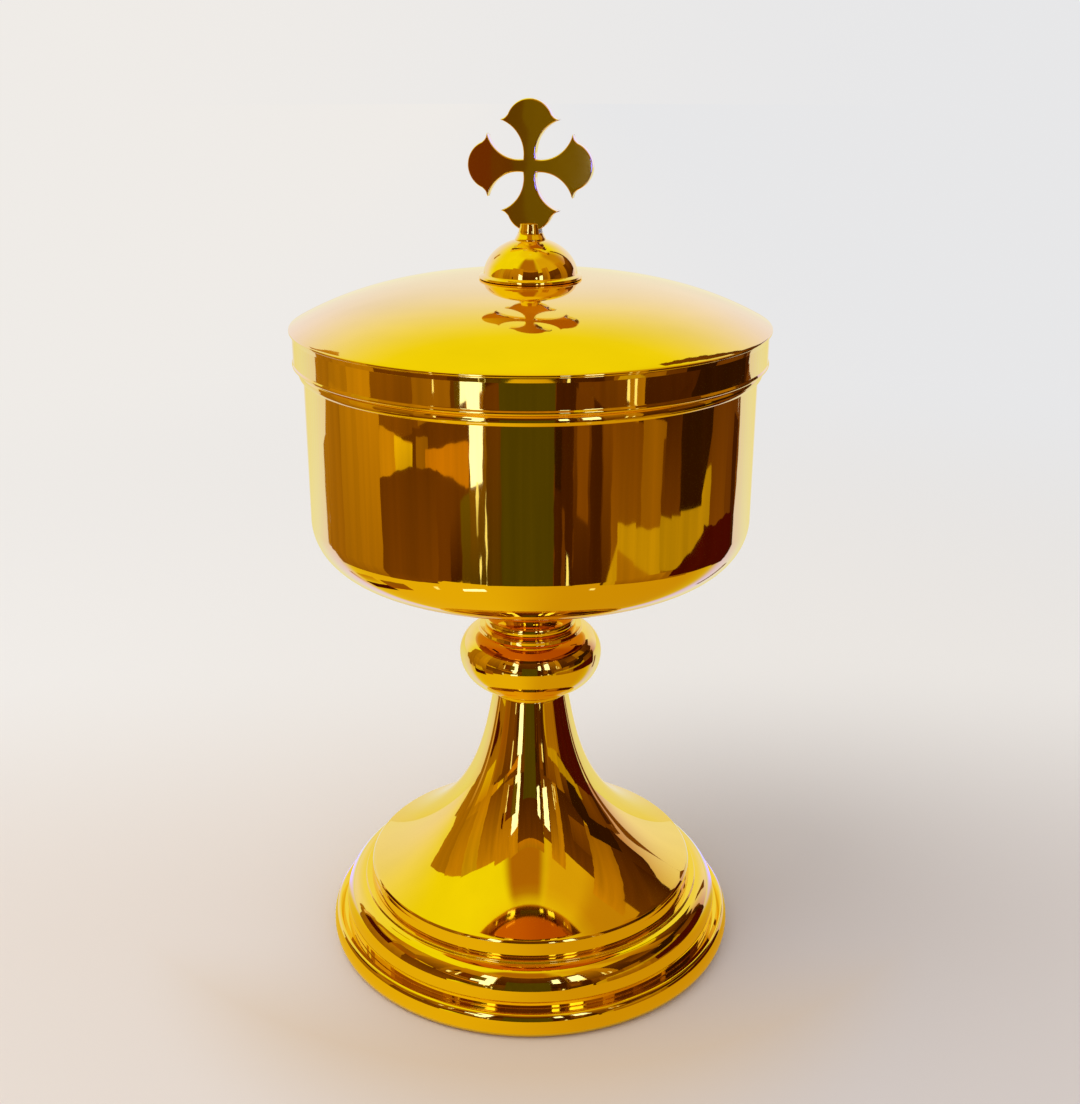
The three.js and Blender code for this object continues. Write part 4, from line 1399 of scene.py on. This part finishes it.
def panel_sheet(stage, number, size, row):
    """Columns of one panel, which stands a little in front of the panel before it."""
    start, end, low, high, lower, *upper = row
    upper = upper[0] if upper else lower
    low, high = both(low), both(high)
    columns = max(2, math.ceil((end - start) / PANEL_COLUMN))
    rows = max(2, math.ceil((max(high) - min(low)) / PANEL_ROW))
    sheet = []
    for i in range(columns + 1):
        across = i / columns
        foot = ((1 - across) * low[0] + across * low[1]) * MM
        head = ((1 - across) * high[0] + across * high[1]) * MM
        head += stage.ripple * waver((start + PANEL_COLUMN * i) / RIPPLE_LENGTH, number)
        column = []
        for j in range(rows + 1):
            up = j / rows
            z = foot + (head - foot) * up
            wave = z / SWAY_LENGTH
            sway = (1 - across) * waver(wave, 2 * number) + across * waver(wave, 2 * number + 1)
            turn = math.radians(start + (end - start) * across) + sway * stage.sway
            reach = size / math.hypot(math.sin(turn) / stage.aside, math.cos(turn) / stage.ahead)
            reach -= number * PANEL_STEP
            x, y = heading(stage.turn + turn)
            column.append(((x * reach, y * reach, z), blend(lower, upper, up)))
        sheet.append(column)
    return sheet


def build_panels(stage):
    """Glowing panels on two ovals round the vessel, which only the polished metal mirrors."""
    table = [(1.0, row) for row in PANELS] + [(NEAR_OVAL, row) for row in NEAR_PANELS]
    sheets = [panel_sheet(stage, number, size, row) for number, (size, row) in enumerate(table)]
    glow = glow_material("panel glow", scale=42.0, stretch=0.12, low=0.88, high=1.12)
    mirrored_only("reflection_panels", sheets, glow)


def build_tent(stage):
    """The tent and floor that the metal mirrors: bright behind and on the left, amber on the right."""
    tent = []
    ground = []
    for turn in range(-180, 181, TENT_STEP):
        side = math.sin(math.radians(turn))
        front = math.cos(math.radians(turn))
        x, y = heading(stage.turn + math.radians(turn))
        column = []
        for rise in range(0, 91, TENT_STEP):
            level = math.cos(math.radians(rise))
            up = math.sin(math.radians(rise))
            place = (stage.tent * level * x, stage.tent * level * y, stage.tent * up)
            column.append((place, tent_tint(side * level, front * level, up)))
        tent.append(column)
        radii = (*GROUND_RADII, stage.tent)
        ground.append([((r * x, r * y, GROUND_HEIGHT), floor_tint(side, front)) for r in radii])
    glow = glow_material("tent glow", scale=1.5, stretch=1.0, low=0.97, high=1.03)
    mirrored_only("reflection_tent", [tent, ground], glow)


# Distances in metres over which the floor's colours pass into one another
TO_DIM_FRONT = (-0.10, 0.08)  # from left to right
TO_FRONT = (-0.19, 0.02)  # from behind to the front
# Over these two, the painted glow from the gilding fades out, away from the axis and towards the back.
OFF_GILT_GLOW = (0.06, 0.125)  # away from the axis
GLOW_IN_FRONT = (0.09, 0.01)
TO_DIM_SKY = (-0.4, 0.4)
INTO_SKY = (0.2, 0.8)

# The floor that the camera sees, in metres
FLOOR_RADIUS = 6.0
FLOOR_SIDES = 96
FLOOR_ROUGHNESS = 0.9


def build_floor(stage):
    """A pale floor whose colours paint light and shade: a painted glow from the gilding, warm close to the
    foot in front, and painted shade on the right in front; with distance it passes into a glow in the
    backdrop's colour, which is dimmer on the right, also painted shade.
    """
    shape = bmesh.new()
    bmesh.ops.create_circle(shape, cap_ends=True, segments=FLOOR_SIDES, radius=FLOOR_RADIUS)
    mesh = mesh_of("floor", shape)
    floor = new_object("floor", mesh)
    material = node_material("floor")
    tree = material.node_tree
    shader = tree.nodes["Principled BSDF"]
    shader.inputs["Roughness"].default_value = FLOOR_ROUGHNESS
    shader.inputs["Specular IOR Level"].default_value = 0.0
    place = add_node(tree, "ShaderNodeTexCoord").outputs["Object"]
    distance = add_node(tree, "ShaderNodeVectorMath", {0: place}, operation="LENGTH").outputs["Value"]
    aside = reach_towards(tree, place, heading(stage.turn + math.pi / 2))
    depth = reach_towards(tree, place, heading(stage.turn))
    # Painted shade: the front of the floor darkens towards the right.
    front = mixed(tree, fade(tree, aside, *TO_DIM_FRONT), stage.floor, stage.floor_dim)
    paper = mixed(tree, fade(tree, depth, *TO_FRONT), stage.floor_back, front)
    # Painted light: a warm glow from the gilding on the floor round and in front of the foot.
    away = maths(tree, "MAXIMUM", fade(tree, distance, *OFF_GILT_GLOW), fade(tree, depth, *GLOW_IN_FRONT))
    tree.links.new(mixed(tree, away, stage.floor_gilt_glow, paper), shader.inputs["Base Color"])
    # Far off, the floor glows in the backdrop's colour, dimmer on the right, a painted shade.
    sky = mixed(tree, fade(tree, aside, *TO_DIM_SKY), stage.backdrop, stage.dim)
    glow = add_node(tree, "ShaderNodeEmission", {"Color": sky})
    blended = add_node(tree, "ShaderNodeMixShader", {
        0: fade(tree, distance, *INTO_SKY), 1: shader.outputs[0], 2: glow.outputs[0]})
    tree.links.new(blended.outputs[0], tree.nodes["Material Output"].inputs["Surface"])
    mesh.materials.append(material)


WORLD_TO_DIM = (-0.3, 0.3)  # parts of a level direction to the right


def build_world(stage):
    """A light tent, a little dimmer on the right."""
    world = bpy.data.worlds.new("tent")
    bpy.context.scene.world = world
    world.use_nodes = True
    tree = world.node_tree
    direction = add_node(tree, "ShaderNodeTexCoord").outputs["Generated"]
    amount = fade(tree, reach_towards(tree, direction, heading(stage.turn + math.pi / 2)), *WORLD_TO_DIM)
    background = tree.nodes["Background"]
    tree.links.new(mixed(tree, amount, stage.backdrop, stage.dim), background.inputs["Color"])
    background.inputs["Strength"].default_value = 1.0


SENSOR_HEIGHT = 36.0  # millimetres
CLIP_START = 0.01
CLIP_END = 50.0


def build_camera(stage):
    data = bpy.data.cameras.new("camera")
    data.sensor_fit = "VERTICAL"
    data.sensor_height = SENSOR_HEIGHT
    data.lens = stage.focal
    data.shift_x = stage.shift
    data.clip_start = CLIP_START
    data.clip_end = CLIP_END
    camera = new_object("camera", data)
    x, y = heading(stage.turn)
    camera.location = (stage.distance * x, stage.distance * y, stage.height)
    camera.rotation_euler = (math.pi / 2 - stage.pitch, 0.0, stage.turn)
    bpy.context.scene.camera = camera


LAMP_PLACE = (-0.5, -0.4, 1.3)
LAMP_AIM = (0.0, 0.0, 0.1)
LAMP_SIZE = 0.9
LAMP_POWER = 6.0


def build_lamp():
    """A soft lamp at the upper left, which the metal doesn't mirror."""
    data = bpy.data.lights.new("key", "AREA")
    data.shape = "DISK"
    data.size = LAMP_SIZE
    data.energy = LAMP_POWER
    lamp = new_object("key", data)
    lamp.location = LAMP_PLACE
    lamp.visible_glossy = False
    aim = Vector(LAMP_AIM) - lamp.location
    lamp.rotation_euler = aim.to_track_quat("-Z", "Y").to_euler()


class CIBORIUM_OT_stage(bpy.types.Operator):
    """Set up the camera, the floor, the reflection panels and the light"""
    bl_idname = "ciborium.stage"
    bl_label = "Stage"

    def execute(self, context):
        stage = context.scene.ciborium.stage
        context.scene.view_settings.view_transform = "Standard"
        build_camera(stage)
        build_floor(stage)
        build_world(stage)
        build_panels(stage)
        build_tent(stage)
        build_lamp()
        return {"FINISHED"}


class CIBORIUM_PT_panel(bpy.types.Panel):
    """Sizes, colours and steps of the ciborium"""
    bl_label = "Ciborium"
    bl_idname = "CIBORIUM_PT_panel"
    bl_space_type = "VIEW_3D"
    bl_region_type = "UI"
    bl_category = "Ciborium"

    def draw(self, context):
        settings = context.scene.ciborium
        for name, kind in GROUPS.items():
            box = self.layout.box()
            box.label(text=name.capitalize())
            group = getattr(settings, name)
            for setting in kind.__annotations__:
                box.prop(group, setting)
        for step in STEPS:
            self.layout.operator(step.bl_idname)


STEPS = (
    CIBORIUM_OT_foot,
    CIBORIUM_OT_stem,
    CIBORIUM_OT_cup,
    CIBORIUM_OT_lid,
    CIBORIUM_OT_finial,
    CIBORIUM_OT_fixings,
    CIBORIUM_OT_stage,
)
CLASSES = (*GROUPS.values(), CiboriumSettings, *STEPS, CIBORIUM_PT_panel)


def register():
    for kind in CLASSES:
        bpy.utils.register_class(kind)
    bpy.types.Scene.ciborium = bpy.props.PointerProperty(type=CiboriumSettings)


def unregister():
    del bpy.types.Scene.ciborium
    for kind in reversed(CLASSES):
        bpy.utils.unregister_class(kind)


def main():
    register()
    bpy.ops.ciborium.foot()
    bpy.ops.ciborium.stem()
    bpy.ops.ciborium.cup()
    bpy.ops.ciborium.lid()
    bpy.ops.ciborium.finial()
    bpy.ops.ciborium.fixings()
    bpy.ops.ciborium.stage()


if __name__ == "__main__":
    main()
